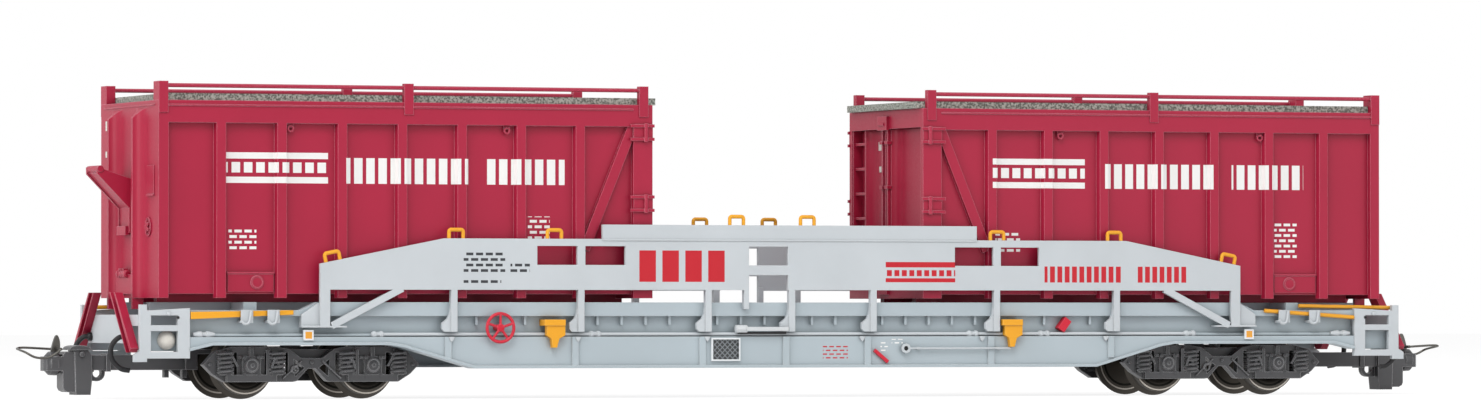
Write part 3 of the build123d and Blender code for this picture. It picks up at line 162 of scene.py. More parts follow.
# Wheel faces, as distances from the axle: start of the rim, then middle and half width of two bands, a
# painted highlight near the rim and a painted shade in the groove
RIM_RADIUS = 3.58
RIM_HIGHLIGHT_BAND = (4.08, 0.1)
GROOVE_SHADE_BAND = (3.42, 0.16)

# Card holder's mesh: its window, the wires' spacing along the frame, and the sine below which they show
MESH_WINDOW = (-12.32, -8.23, 5.03, 7.97)
MESH_PITCH = 0.8
MESH_WIRE = 0.35

# Reflectors' amber squares: distance along the side, height and half width
LENS_X = 74.65
LENS_HEIGHT = LOWER_WEB_TOP + 0.25
LENS_HALF = 0.5

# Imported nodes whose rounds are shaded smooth, how near their loose corners are joined, and the edges'
# angles on them and on the added pieces
ROUNDED = ("wheels", "axle", "coupler", "tub", "bail", "top_rods", "door_fittings", "doors",
           "release_handles", "drain_rods", "brake_pipes", "red_fittings", "truss", "side_near",
           "side_far", "end_arms")
WELD_REACH = 0.002 * MM
NODE_EDGE_ANGLE = math.radians(30)
PIECE_EDGE_ANGLE = math.radians(35)

# Springs, axleboxes and couplers, from the bogie's pivot
SPRING_OFFSET = 3.9
SPRING_RADIUS = 1.08
SPRING_WIRE = 0.23
SPRING_TURNS = 5
SPRING_Y = -9.85
SPRING_FOOT = TREAD_RADIUS - 1.3
SPRING_HEIGHT = 3.2
LOOP_REAR_X = -35.4
LOOP_TIP_X = -40.85
LOOP_HALF_WIDTH = 2.65
LOOP_HEIGHT = 6.65
NOSE_TOP = 5.6

# Truss loops and the edges they stand on, handwheel, pipe, clips, flap, lugs and hinges
TRUSS_LOOPS = (-71.0, -52.25, -37.1, -8.6, 2.6, 33.1, 52.25, 71.0)
TRUSS_TOP = 22.65
TRUSS_FLAT_X = 54.1
TRUSS_FALL = 3.7
TRUSS_FALL_LENGTH = 18.9
TRUSS_SLOPE = math.atan(TRUSS_FALL / TRUSS_FALL_LENGTH)
PANEL_TOP = 24.75
PANEL_HALF_LENGTH = 29.7
HANDWHEEL = (-45.6, -15.7, 9.7)
PIPE_UNIONS = (-64.0, -30.6, 29.4, 41.0, 65.0)
PIPE_PEGS = (-52.9, -33.4, -13.2, 11.4, 30.7, 50.9)
CLIPS = (-84.0, -80.0, 80.4, 85.5)
FLAP = (-86.4, -79.5, 14.9, 17.6)
SIDE_LUGS = (-77.0, -44.0)
HINGE_TOPS = (39.5, 29.1)


def linear(hex_colour):
    """sRGB hex value as a linear colour with alpha."""
    channels = [int(hex_colour[i:i + 2], 16) / 255 for i in (0, 2, 4)]
    return tuple(c / 12.92 if c <= 0.04045 else ((c + 0.055) / 1.055) ** 2.4 for c in channels) + (1.0,)


# Shapes: each is an array of points and a list of faces

def grid(rows, columns, closed=False):
    """Quads between rings of points: round each ring, and from the last ring to the first if closed."""
    row, column = np.meshgrid(np.arange(rows if closed else rows - 1), np.arange(columns), indexing="ij")
    beside, onward = (column + 1) % columns, (row + 1) % rows
    corners_of = ((row, column), (row, beside), (onward, beside), (onward, column))
    return np.stack([r * columns + c for r, c in corners_of], axis=-1).reshape(-1, 4).tolist()


def rings(path, along, across, radius, sides):
    """Circles square to a path: the path's point plus the radius times cos and sin of the angle."""
    across = np.asarray(across, float)
    first = across - along * (along @ across)[:, None]
    first /= np.linalg.norm(first, axis=1, keepdims=True)
    second = np.cross(along, first)
    angle = np.linspace(0, 2 * np.pi, sides, endpoint=False)[:, None]
    reach = np.broadcast_to(radius, len(path))[:, None, None]
    points = path[:, None] + reach * (np.cos(angle) * first[:, None] + np.sin(angle) * second[:, None])
    last = (len(path) - 1) * sides
    caps = [list(range(sides))[::-1], list(range(last, last + sides))]
    return points.reshape(-1, 3), grid(len(path), sides) + caps


def tube(path, radius, across=(0, 1, 0), sides=10):
    """A circle carried along a path, square to the path's own slope."""
    path = np.asarray(path, float)
    along = np.gradient(path, axis=0)
    along /= np.linalg.norm(along, axis=1, keepdims=True)
    return rings(path, along, across, radius, sides)


def lathe(profile, centre, axis=(0, -1, 0), sides=24):
    """A profile of distances along an axis and radii, turned round that axis."""
    profile = np.asarray(profile, float)
    axis = np.asarray(axis, float)
    path = np.asarray(centre, float) + profile[:, :1] * axis
    across = (1, 0, 0) if abs(axis[0]) < 0.5 else (0, 0, 1)
    return rings(path, np.tile(axis, (len(path), 1)), across, profile[:, 1], sides)


def plate(outline, low, high, plane="xz"):
    """An outline in two axes, moved along the third from one distance to another."""
    outline = np.asarray(outline, float)
    u, v, w, hand = {"xz": (0, 2, 1, -1), "yz": (1, 2, 0, 1), "xy": (0, 1, 2, 1)}[plane]
    after = np.roll(outline, -1, axis=0)
    if hand * np.sum(outline[:, 0] * after[:, 1] - after[:, 0] * outline[:, 1]) < 0:
        outline = outline[::-1]
    count = len(outline)
    points = np.zeros((2 * count, 3))
    points[:, u], points[:, v] = np.tile(outline[:, 0], 2), np.tile(outline[:, 1], 2)
    points[:, w] = np.repeat((low, high), count)
    caps = [list(range(count))[::-1], list(range(count, 2 * count))]
    return points, grid(2, count) + caps


def block(x, y, z):
    """Box between two values on each axis."""
    return plate([(x[0], y[0]), (x[1], y[0]), (x[1], y[1]), (x[0], y[1])], z[0], z[1], "xy")


def strip(start, end, width, low, high):
    """Straight bar of one width in X and Z, between two values of Y."""
    start, end = np.asarray(start, float), np.asarray(end, float)
    side = (end - start)[::-1] * (-1, 1) / np.linalg.norm(end - start) * width / 2
    return plate([start + side, end + side, end - side, start - side], low, high)


def smooth(points, steps=8):
    """Catmull-Rom curve through points, as cubics of the share of the way between each two."""
    p = np.asarray(points, float)
    p = np.vstack((2 * p[0] - p[1], p, 2 * p[-1] - p[-2]))
    t = np.linspace(0, 1, steps, endpoint=False)[:, None, None]
    a, b, c, d = p[:-3], p[1:-2], p[2:-1], p[3:]
    curve = 0.5 * (2 * b + (c - a) * t + (2 * a - 5 * b + 4 * c - d) * t ** 2
                   + (3 * b - a - 3 * c + d) * t ** 3)
    return np.vstack((curve.transpose(1, 0, 2).reshape(-1, p.shape[1]), p[-2]))


def star(radius, lobe, lobes, count=40):
    """Closed outline whose radius swings with the cosine of a multiple of the angle."""
    angle = np.linspace(0, 2 * np.pi, count, endpoint=False)
    reach = radius + lobe * np.cos(lobes * angle)
    return np.column_stack((reach * np.cos(angle), reach * np.sin(angle)))


def ring(centre, radius, wire, sides=8, count=32):
    """Torus that faces along Y: the radius plus the wire's cos, the wire's sin, swept round a circle."""
    turns = [np.linspace(0, 2 * np.pi, steps, endpoint=False) for steps in (count, sides)]
    around, across = np.meshgrid(*turns, indexing="ij")
    reach = radius + wire * np.cos(across)
    points = np.stack((reach * np.cos(around), wire * np.sin(across), reach * np.sin(around)), axis=-1)
    return points.reshape(-1, 3) + centre, grid(count, sides, closed=True)


def moved(piece, offset):
    """The piece shifted."""
    return piece[0] + np.asarray(offset, float), piece[1]


def half_turn(piece):
    """The piece turned half round the Z axis."""
    return piece[0] * (-1, -1, 1), piece[1]


def mirrored(piece, signs):
    """The piece mirrored on one axis, with its faces turned to point outwards."""
    return piece[0] * signs, [face[::-1] for face in piece[1]]


def join(pieces):
    """One shape from several."""
    starts = np.cumsum([0] + [len(points) for points, _ in pieces])
    faces = [[corner + int(start) for corner in face]
             for start, (_, part) in zip(starts, pieces) for face in part]
    return np.vstack([points for points, _ in pieces]), faces


def both(pieces):
    """Pieces and their copies turned half round."""
    return join(list(pieces) + [half_turn(piece) for piece in pieces])


def outward(pieces, side):
    """Pieces drawn towards -X, joined, and turned half round for the right end."""
    return half_turn(join(pieces)) if side > 0 else join(pieces)


def make(name, shape, slot, body, finishes):
    """An object of the shape, in metres and lifted by the flanges' depth, that rides on its body."""
    points, faces = shape
    mesh = bpy.data.meshes.new(name)
    mesh.from_pydata(((points + (0, 0, FLANGE_DEPTH)) * MM).tolist(), [], faces)
    mesh.materials.append(finishes[slot])
    mesh.shade_smooth()
    mesh.set_sharp_from_angle(angle=PIECE_EDGE_ANGLE)
    piece = bpy.data.objects.new(name, mesh)
    bpy.context.scene.collection.objects.link(piece)
    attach(piece, body)
    return piece


# Pieces of the bogies, made about the pivot with the coupler towards -X

def coil(x):
    """Coil spring: a helix with its turns spread evenly over the height."""
    share = np.linspace(0, 1, SPRING_TURNS * 14 + 1)
    angle = 2 * np.pi * SPRING_TURNS * share
    height = SPRING_FOOT + SPRING_HEIGHT * share
    path = np.column_stack((x + SPRING_RADIUS * np.cos(angle),
                            SPRING_Y + SPRING_RADIUS * np.sin(angle), height))
    return tube(path, SPRING_WIRE, across=(0, 0, 1), sides=7)


def axlebox_trim(x, side):
    """Round cover with its bolt, two pins above it, two lobes at its foot and two slanted links."""
    a = TREAD_RADIUS
    cover_profile = [(0.5, 1.02), (0.72, 1.02), (0.76, 0.86), (0.7, 0.8), (0.78, 0.66), (0.85, 0.3),
                     (0.98, 0.26), (1.0, 0.05)]
    pin_profile = [(0.1, 0.3), (0.6, 0.3), (0.68, 0.15), (0.7, 0.03)]
    lobe_profile = [(0.1, 0.45), (0.45, 0.45), (0.55, 0.2), (0.56, 0.03)]
    cover = lathe(cover_profile, (x, -SIDE_FACE, a))
    pins = [lathe(pin_profile, (x + out, -SIDE_FACE, a + 1.15), sides=12) for out in (-1.1, 1.1)]
    lobes = [lathe(lobe_profile, (x + out, -SIDE_FACE, a - 1.55), sides=12) for out in (-1.15, 1.15)]
    peak = (x - side * 3.4, a + 1.15)
    links = [strip(peak, (x - side * out, a - 0.4), 0.26, -SIDE_FACE - 0.95, -SIDE_FACE - 0.7)
             for out in (4.15, 2.85)]
    return [cover, *pins, *lobes, *links]


def side_trim():
    """Bolts, thin rods and a ring boss on the near side frame."""
    a, face = TREAD_RADIUS, -SIDE_FACE
    bolt_profile = [(0, 0.26), (0.2, 0.26), (0.28, 0.1), (0.29, 0.03)]
    bolt_places = ((-6.5, a + 2.2), (6.5, a + 2.2), (-12.6, a + 2.2), (12.6, a + 2.2), (0, a + 0.4),
                   (-15.4, a + 0.1), (15.4, a + 0.1))
    bolts = [lathe(bolt_profile, (x, face, z), sides=10) for x, z in bolt_places]
    rods = [tube([(side * 4.4, face - 0.15, a - 1.9), (side * 1.6, face - 0.15, a + 0.6)], 0.14, sides=6)
            for side in (-1, 1)]
    boss = ring((-2.6, face - 0.1, a - 0.6), 0.5, 0.16)
    return bolts + rods + [boss]


def hook_and_loop():
    """Wire loop that dips on one side and is level on the other, its cross rod, and the leaf-shaped blade
    with its knob."""
    x, tip, w = LOOP_REAR_X, LOOP_TIP_X, LOOP_HALF_WIDTH
    dipped = [(x, -w, LOOP_HEIGHT), (x - 0.9, -w, NOSE_TOP + 0.35), (x - 2.2, -w, NOSE_TOP - 0.2),
              (tip + 1.6, -w, NOSE_TOP - 0.1), (tip + 0.3, -w + 0.5, NOSE_TOP + 0.6)]
    level = [(tip + 0.3, w - 0.5, LOOP_HEIGHT + 0.1), (tip + 1.6, w, LOOP_HEIGHT + 0.2), (x, w, LOOP_HEIGHT)]
    path = smooth(dipped + [(tip, 0, LOOP_HEIGHT - 0.1)] + level)
    wire = tube(path, 0.17, across=(0, 0, 1), sides=8)
    cross = tube([(x, -w - 0.1, LOOP_HEIGHT), (x, w + 0.1, LOOP_HEIGHT)], 0.22, across=(0, 0, 1))
    leaf = smooth([(0.3, 0), (0.55, 1.1), (0.5, 2.3), (0.15, 3.05), (-0.2, 2.75), (-0.6, 1.5), (-0.85, 0)])
    blade = plate(leaf + (x, NOSE_TOP), -0.28, 0.28)
    knob = lathe([(-0.55, 0.42), (0.55, 0.42)], (x + 0.1, 0, NOSE_TOP + 1.1), sides=14)
    return [wire, cross, blade, knob]


def coupler_trim():
    """Bowl round the nose, rounded top and bolts of the head, collar of the drawbar and lugs under it."""
    bowl_profile = [(0, 1.35), (0.5, 1.75), (1.6, 1.7), (2.2, 1.1), (2.3, 0.6), (2.1, 0.05)]
    bowl = lathe(bowl_profile, (-34.9, 0, 4.6), (-1, 0, 0))
    cap = plate(smooth([(-33.9, 6.5), (-33.6, 7.0), (-32.6, 7.2), (-31.2, 7.05), (-30.4, 6.5)]), -1.9, 1.9)
    collar = block((-28.3, -27.6), (-1.45, 1.45), (3.4, 6.0))
    lugs = [block((x, x + 0.7), (-0.5, 0.5), (2.5, 3.7)) for x in (-19.3, -16.6)]
    bolt = lathe([(0, 0.38), (0.25, 0.38), (0.35, 0.2), (0.36, 0.03)], (-32.0, -1.7, 5.9), sides=12)
    return [bowl, cap, collar, *lugs, bolt, mirrored(bolt, (1, -1, 1))]


# Pieces of the wagon frame, on the near side or at the left end

def truss_loop(x):
    """Wire loop standing on the truss: two feet, two quarter-round corners, leaning with the slope."""
    half, height, corner = 1.08, 1.26, 0.34
    angle = np.linspace(0, np.pi / 2, 6)
    turn = np.column_stack((half - corner + corner * np.cos(angle), height - corner + corner * np.sin(angle)))
    right = np.vstack(([half, -0.3], turn))
    outline = np.vstack((right, (right * (-1, 1))[::-1]))
    lean = 0.0 if abs(x) < TRUSS_FLAT_X else -math.copysign(TRUSS_SLOPE, x)
    tops = (PANEL_TOP, TRUSS_TOP, TRUSS_TOP - (abs(x) - TRUSS_FLAT_X) * math.tan(TRUSS_SLOPE))
    top = tops[int(abs(x) >= PANEL_HALF_LENGTH) + int(abs(x) >= TRUSS_FLAT_X)]
    path = np.column_stack((x + outline[:, 0] * math.cos(lean) - outline[:, 1] * math.sin(lean),
                            np.full(len(outline), -TRUSS_MIDDLE),
                            top + outline[:, 0] * math.sin(lean) + outline[:, 1] * math.cos(lean)))
    return tube(path, 0.29, sides=8)


def handwheel():
    """Round-rimmed handwheel with five spokes and a domed hub."""
    x, y, z = HANDWHEEL
    rim = ring(HANDWHEEL, 2.06, 0.24, sides=10)
    angles = np.pi / 2 + np.arange(5) * 2 * np.pi / 5
    spokes = [tube([(x, y, z), (x + 2.0 * math.cos(a), y, z + 2.0 * math.sin(a))], 0.2) for a in angles]
    hub = lathe([(-2.1, 0.45), (0.1, 0.6), (0.22, 0.5), (0.3, 0.2), (0.31, 0.03)], HANDWHEEL, sides=16)
    return [rim, *spokes, hub]


def brake_hose(side):
    """Hose that bows under the headstock, with its collar."""
    y, z = side * 9.0, LOWER_WEB_TOP
    bow = [(0.0, 0.0), (1.3, 0.1), (2.4, 1.4), (2.3, 3.2), (1.0, 4.5), (-0.3, 4.8)]
    path = smooth([(-HEADSTOCK_X - out, y, z - down) for out, down in bow])
    collar = lathe([(0, 0.62), (0.5, 0.62), (0.6, 0.5)], (-HEADSTOCK_X, y, z), axis=(-1, 0, 0), sides=14)
    return [tube(path, 0.38), collar]


def dome():
    """Pale knob on the end panel: the radius follows a quarter of an ellipse over its depth."""
    share = np.sin(np.linspace(0, np.pi / 2, 10))
    profile = np.column_stack((1.05 * share, 1.36 * np.sqrt(np.maximum(1 - share ** 2, 0.001))))
    return lathe(profile, (-95.5, -SILL_WEB, 7.95), sides=32)


def pipe_union(x, reach=1.0):
    """Union on the brake pipe: two collars and the waist between them."""
    profile = [(-reach, 0.28), (-0.7, 0.5), (-0.35, 0.5), (-0.25, 0.36),
               (0.25, 0.36), (0.35, 0.5), (0.7, 0.5), (reach, 0.28)]
    return lathe(profile, (x, -14.45, LOWER_WEB_TOP + 0.35), axis=(1, 0, 0), sides=12)


def pipe_peg(x):
    """Tapered peg that holds the pipe from below."""
    z = LOWER_WEB_TOP
    return plate([(x - 0.45, z), (x + 0.45, z), (x + 0.25, z - 0.5), (x, z - 0.75), (x - 0.25, z - 0.5)],
                 -LOWER_WEB - 0.35, -LOWER_WEB + 0.1)


def clip_hook(x):
    """Hook that holds the yellow bars: a wire bent like a J."""
    z = 10.5
    bends = [(-0.95, 0.35), (-0.45, -0.2), (0.2, -0.05), (0.45, 0.8), (0.55, 1.7)]
    path = smooth([(x + out, z + up) for out, up in bends])
    return tube(np.column_stack((path[:, 0], np.full(len(path), -15.55), path[:, 1])), 0.2, sides=8)


def sill_trim():
    """Grey trim of the near side: pipe with unions and pegs, hooks, the panel's lip, the end frames' pins."""
    pieces = [pipe_union(x) for x in PIPE_UNIONS] + [pipe_peg(x) for x in PIPE_PEGS]
    pieces += [pipe_union(x, 1.6) for x in (-90.2, 90.2)] + [clip_hook(x) for x in CLIPS]
    pipe = [(PIPE_UNIONS[0], -14.55, LOWER_WEB_TOP + 0.35), (PIPE_UNIONS[-1], -14.55, LOWER_WEB_TOP + 0.35)]
    pieces.append(tube(pipe, 0.26, across=(0, 0, 1)))
    pieces.append(block((-PANEL_HALF_LENGTH, PANEL_HALF_LENGTH), (-15.6, -15.4), (22.4, TRUSS_TOP)))
    for x in (-95.6, 95.6):
        pieces.append(lathe([(0, 0.3), (0.15, 0.3), (0.22, 0.15), (0.23, 0.03)], (x, -15.0, 11.75), sides=10))
    return pieces


def painted_shade_dots():
    """Painted shade: thin dark discs where the holes in the rod's eye and the end frames show shade, and a
    dark bar where the gap behind the release handle shows shade."""
    bar = block((-8.3, -0.8), (-15.35, -14.9), (8.75, 9.1))
    eye = lathe([(0, 0.42), (0.06, 0.42)], (18.3, -15.25, 6.6), sides=16)
    small_disc = [(0, 0.22), (0.06, 0.22)]
    return [bar, eye] + [lathe(small_disc, (x, -15.0, 11.2), sides=10) for x in (-94.2, 94.2)]


# Pieces of the containers: those of the left one, then turned for the right one

def side_fittings(side):
    """Discharge flap with its bar and round cap, ring lugs, and the hinges' straps and pins."""
    left, right, low, high = FLAP
    flap_face = -PANEL_SIDE - 0.3
    flap = block((left, right), (flap_face, -PANEL_SIDE + 0.1), (low, high))
    edge = tube([(left - 0.1, flap_face, high), (right + 0.1, flap_face, high)], 0.16, (0, 0, 1))
    cap = lathe([(0.2, 0.95), (0.5, 0.95), (0.55, 0.8), (0.46, 0.72), (0.5, 0.4), (0.52, 0.03)],
                (left + 4.4, -PANEL_SIDE, 16.25))
    pieces = [flap, edge, cap]
    for x in SIDE_LUGS:
        pieces += [ring((x, -PANEL_SIDE - 0.45, 38.35), 0.4, 0.15),
                   block((x - 0.5, x + 0.5), (-PANEL_SIDE - 0.35, -PANEL_SIDE + 0.1), (38.5, 39.2))]
    for top in HINGE_TOPS:
        for z in (top - 0.5, top - 2.45):
            pieces.append(block((-25.0, -21.3), (-BOX_SIDE - 0.35, -BOX_SIDE + 0.05), (z, z + 0.45)))
        pin_foot = (-22.6, -BOX_SIDE - 0.25, top - 2.6)
        pieces.append(tube([pin_foot, (*pin_foot[:2], top + 0.1)], 0.32))
    return pieces if side < 0 else [mirrored(piece, (1, -1, 1)) for piece in pieces]


def hook_end_fittings():
    """Star wheel in its ring, the flush plate with its lip, the latch roller and its teeth, the bail's pin
    block, and a strip along the wall's top."""
    x = -BOX_OUTER_X
    outline = star(0.72, 0.3, 5) + (-9.6, 24.2)
    wheel = plate(outline, x - 0.4, x + 0.1, "yz")
    rim_profile = [(-0.1, 1.4), (0.18, 1.4), (0.24, 1.3), (0.12, 1.12), (0.05, 1.1)]
    rim = lathe(rim_profile, (x, -9.6, 24.2), axis=(-1, 0, 0))
    cover = block((x - 0.14, x + 0.1), (-12.4, -9.0), (28.8, 33.0))
    lip = block((x - 0.3, x + 0.1), (-12.4, -9.0), (28.6, 28.85))
    roller = lathe([(-2.2, 0.4), (-2.0, 0.6), (-1.6, 0.6), (-1.5, 0.4), (1.5, 0.4), (1.6, 0.6), (2.0, 0.6),
                    (2.2, 0.4)], (x - 0.9, 0, 17.5), sides=18)
    teeth = [block((x - 1.3, x - 0.6), (y - 0.2, y + 0.2), (17.0, 18.3)) for y in (-1.0, 0.0, 1.0)]
    pin_block = block((x - 1.3, x + 0.1), (-2.1, 2.1), (23.1, 24.4))
    seal = block((x - 0.12, x + 0.1), (-12.6, 12.6), (41.55, 41.75))
    return [wheel, rim, cover, lip, roller, *teeth, pin_block, seal]


def door_end_fittings():
    """Keepers on the lock bars, the door joint's cover strip and a roller on the head."""
    x = -BOX_INNER_X
    pieces = []
    for y in (-1.45, 0.5):
        for z in (37.2, 30.5, 24.0, 18.5):
            pieces.append(block((x - 0.6, x + 0.25), (y - 0.5, y + 0.5), (z, z + 0.5)))
    pieces.append(block((x - 0.6, x - 0.1), (-0.62, -0.35), (16.0, 39.3)))
    pieces.append(lathe([(-0.9, 0.35), (0.9, 0.35)], (x + 0.35, -0.5, 40.2), sides=14))
    return pieces


def stickers():
    """Blank pale stickers on the hook end's post and on the ladder's door leaf."""
    end, leaf = -BOX_OUTER_X, -BOX_INNER_X - 1.7
    return [block((end - 0.04, end + 0.05), (9.6, 12.0), (38.4, 39.8)),
            block((end - 0.04, end + 0.05), (9.6, 12.0), (34.5, 35.4)),
            block((leaf - 0.05, leaf + 0.04), (-6.85, -4.1), (36.4, 37.7)),
            block((leaf - 0.05, leaf + 0.04), (-6.6, -4.3), (33.1, 34.0))]


def add_pieces(finishes):
    """Every added piece, on its body, in place of the plainer solids that it stands for."""
    springs = [coil(side * HALF_WHEELBASE + out)
               for side in (-1, 1) for out in (-SPRING_OFFSET, SPRING_OFFSET)]
    boxes = [piece for side in (-1, 1) for piece in axlebox_trim(side * HALF_WHEELBASE, side)]
    for body, side in (("bogie_left", -1), ("bogie_right", 1)):
        place = (side * PIVOT_X, 0, 0)
        dark = (("springs", both(springs)), ("trim", both(boxes + side_trim())),
                ("coupler_trim", outward(coupler_trim(), side)))
        for name, shape in dark:
            make(f"{body}_{name}", moved(shape, place), "bogie_black", body, finishes)
        wires = moved(outward(hook_and_loop(), side), place)
        loop = make(f"{body}_hook_and_loop", wires, "coupler_metal", body, finishes)
        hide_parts(f"{body}_coupler_loop")
    wagon = (
        ("truss_loops", both([truss_loop(x) for x in TRUSS_LOOPS]), "yellow", "lashing_loops"),
        ("handwheels_round", both(handwheel()), "red", "handwheels"),
        ("hoses", both(brake_hose(-1) + brake_hose(1)), "hose_black", "brake_hoses"),
        ("domes", both([dome()]), "pale", "corner_domes"),
        ("sill_trim", both(sill_trim()), "light_grey", None),
        # Painted shade: dark discs and a bar where holes and a gap are in shade
        ("painted_shade_dots", both(painted_shade_dots()), "hose_black", None),
        ("box_side_fittings", both(side_fittings(-1) + side_fittings(1)), "crimson", None),
        ("hook_end_fittings", both(hook_end_fittings()), "crimson", None),
        ("door_end_fittings", both(door_end_fittings()), "crimson", None),
        ("stickers", both(stickers()), "pale", None),
    )
    for name, shape, slot, node in wagon:
        piece = make(name, shape, slot, "wagon", finishes)
        if node:
            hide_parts(node)


# Finishes. Kinds of node that most of them use, and the numbers of a colour mix's sockets

MATH = "ShaderNodeMath"
MIX = "ShaderNodeMix"
SHARE, BELOW, ABOVE = 0, 6, 7
SURFACE = "ShaderNodeBsdfPrincipled"
OUTPUT = "ShaderNodeOutputMaterial"
RANGE = "ShaderNodeMapRange"


def add(tree, kind, inputs=(), **settings):
    """Adds a node with its settings, and its inputs by name or in order: values, sockets or nodes to link."""
    node = tree.nodes.new(kind)
    for name, value in settings.items():
        setattr(node, name, value)
    for name, value in inputs.items() if isinstance(inputs, dict) else enumerate(inputs):
        if isinstance(value, bpy.types.Node):
            value = next(socket for socket in value.outputs if socket.enabled)
        if isinstance(value, bpy.types.NodeSocket):
            tree.links.new(value, node.inputs[name])
        else:
            node.inputs[name].default_value = value
    return node


def start(name):
    """A new material and its empty node tree."""
    material = bpy.data.materials.new(name)
    material.use_nodes = True
    material.node_tree.nodes.clear()
    return material, material.node_tree


def side_place(tree):
    """Place on a side in millimetres: along it as seen from outside, out from the middle, and height."""
    place = add(tree, "ShaderNodeTexCoord").outputs["Object"]
    axes = add(tree, "ShaderNodeSeparateXYZ", {"Vector": place}).outputs
    depth = add(tree, MATH, (axes["Y"],), operation="ABSOLUTE")
    out = add(tree, MATH, (depth, MM), operation="DIVIDE")
    facing = add(tree, MATH, (axes["Y"],), operation="SIGN")
    turned = add(tree, MATH, (axes["X"], facing), operation="MULTIPLY")
    along = add(tree, MATH, (turned, -MM), operation="DIVIDE")
    lifted = add(tree, MATH, (axes["Z"], MM), operation="DIVIDE")
    height = add(tree, MATH, (lifted, FLANGE_DEPTH), operation="SUBTRACT")
    return along, out, height


def patches(tree, along, height, areas):
    """1 inside any of the areas, given as left, right, bottom and top."""
    total = 0.0
    for left, right, bottom, top in areas:
        wide = add(tree, MATH, (along, (left + right) / 2, (right - left) / 2), operation="COMPARE")
        tall = add(tree, MATH, (height, (bottom + top) / 2, (top - bottom) / 2), operation="COMPARE")
        inside = add(tree, MATH, (wide, tall), operation="MULTIPLY")
        total = add(tree, MATH, (inside, total), operation="MAXIMUM")
    return total


def dashes(tree, along, height, width, row, gap):
    """Rows of plain dashes, as a brick pattern without its joints; high rows leave upright bars."""
    flat = add(tree, "ShaderNodeCombineXYZ", {"X": along, "Y": height})
    brick = add(tree, "ShaderNodeTexBrick", {"Vector": flat, "Scale": 1.0, "Mortar Size": gap,
                                             "Mortar Smooth": 0.0, "Brick Width": width, "Row Height": row})
    return add(tree, MATH, (1.0, brick.outputs["Fac"]), operation="SUBTRACT")


def moulded(name, colour, roughness=0.42, edge_highlight_gain=0.5, edge_width=0.13, edge_highlight_colour=PALE_EDGE_HIGHLIGHT,
            recess_painted_shade=0.45, prints=(), face=0.0):
    """Moulded plastic with a satin face: soft mottling, a grain drawn 0.3 mm coarse so that it shows, painted
    shade in recesses, and rounded edges that catch the light. The edges are also painted paler, a painted
    highlight.
    Print lies on the faces further out than a given distance."""
    material, tree = start(name)
    place = add(tree, "ShaderNodeTexCoord").outputs["Object"]
    cloud = add(tree, "ShaderNodeTexNoise", {"Vector": place, "Scale": 1 / CLOUD_SIZE, "Detail": 3.0})
    grain = add(tree, "ShaderNodeTexNoise", {"Vector": place, "Scale": 1 / GRAIN_SIZE, "Detail": 2.0})
    tone = add(tree, RANGE, {"Value": cloud.outputs["Fac"], "From Min": 0.3, "From Max": 0.7,
                             "To Min": 1 - MOTTLE, "To Max": 1 + MOTTLE})
    base = add(tree, "ShaderNodeVectorMath", {0: linear(colour)[:3], "Scale": tone}, operation="SCALE")
    round_off = add(tree, "ShaderNodeBevel", {"Radius": edge_width * MM}, samples=4)
    flat = add(tree, "ShaderNodeNewGeometry").outputs["Normal"]
    # Painted highlight: where the bevelled normal turns away from the flat one, the colour is mixed towards
    # the pale edge tone
    same = add(tree, "ShaderNodeVectorMath", (round_off, flat), operation="DOT_PRODUCT")
    edge = add(tree, RANGE, {"Value": same, "From Min": 0.995, "From Max": 0.80, "To Min": 0.0,
                             "To Max": edge_highlight_gain})
    # Painted shade: ambient occlusion darkens the colour in recesses and between parts
    depth = add(tree, "ShaderNodeAmbientOcclusion", {"Distance": PAINTED_SHADE_REACH}, samples=6)
    recess_shade_factor = add(tree, RANGE, {"Value": depth.outputs["AO"], "To Min": 1 - recess_painted_shade, "To Max": 1.0})
    base = add(tree, "ShaderNodeVectorMath", {0: base, "Scale": recess_shade_factor}, operation="SCALE")
    painted = add(tree, MIX, {SHARE: edge, BELOW: base, ABOVE: linear(edge_highlight_colour)}, data_type="RGBA")
    along, out, height = side_place(tree)
    outside = add(tree, MATH, (out, face), operation="GREATER_THAN")
    for areas, ink, pattern in prints:
        share = add(tree, MATH, (patches(tree, along, height, areas), outside), operation="MULTIPLY")
        if pattern:
            marks = dashes(tree, along, height, *pattern)
            share = add(tree, MATH, (share, marks), operation="MULTIPLY")
        painted = add(tree, MIX, {SHARE: share, BELOW: painted, ABOVE: linear(ink)}, data_type="RGBA")
    gloss = add(tree, RANGE, {"Value": grain.outputs["Fac"], "From Min": 0.3, "From Max": 0.7,
                              "To Min": roughness - 0.05, "To Max": roughness + 0.05})
    bump = add(tree, "ShaderNodeBump", {"Height": grain.outputs["Fac"], "Normal": round_off,
                                        "Strength": 0.12, "Distance": 0.01 * MM})
    surface = add(tree, SURFACE, {"Base Color": painted, "Roughness": gloss, "Normal": bump,
                                  "Specular IOR Level": 0.3})
    add(tree, OUTPUT, {"Surface": surface})
    return material


def cover_board():
    """Roof cover of ABS with a sanded face: pale and dark grains on grey, drawn 0.3 mm coarse to show."""
    material, tree = start("sanded_cover_abs")
    place = add(tree, "ShaderNodeTexCoord").outputs["Object"]
    grain = add(tree, "ShaderNodeTexNoise", {"Vector": place, "Scale": 1 / GRAIN_SIZE, "Detail": 3.0})
    speckle = add(tree, RANGE, {"Value": grain.outputs["Fac"], "From Min": 0.4, "From Max": 0.6})
    grains = add(tree, MIX, {SHARE: speckle, BELOW: linear(DARK_SAND), ABOVE: linear(PALE_SAND)},
                 data_type="RGBA")
    bump = add(tree, "ShaderNodeBump", {"Height": grain.outputs["Fac"], "Strength": 0.5,
                                        "Distance": 0.05 * MM})
    surface = add(tree, SURFACE, {"Base Color": grains, "Roughness": 0.85, "Normal": bump})
    add(tree, OUTPUT, {"Surface": surface})
    return material


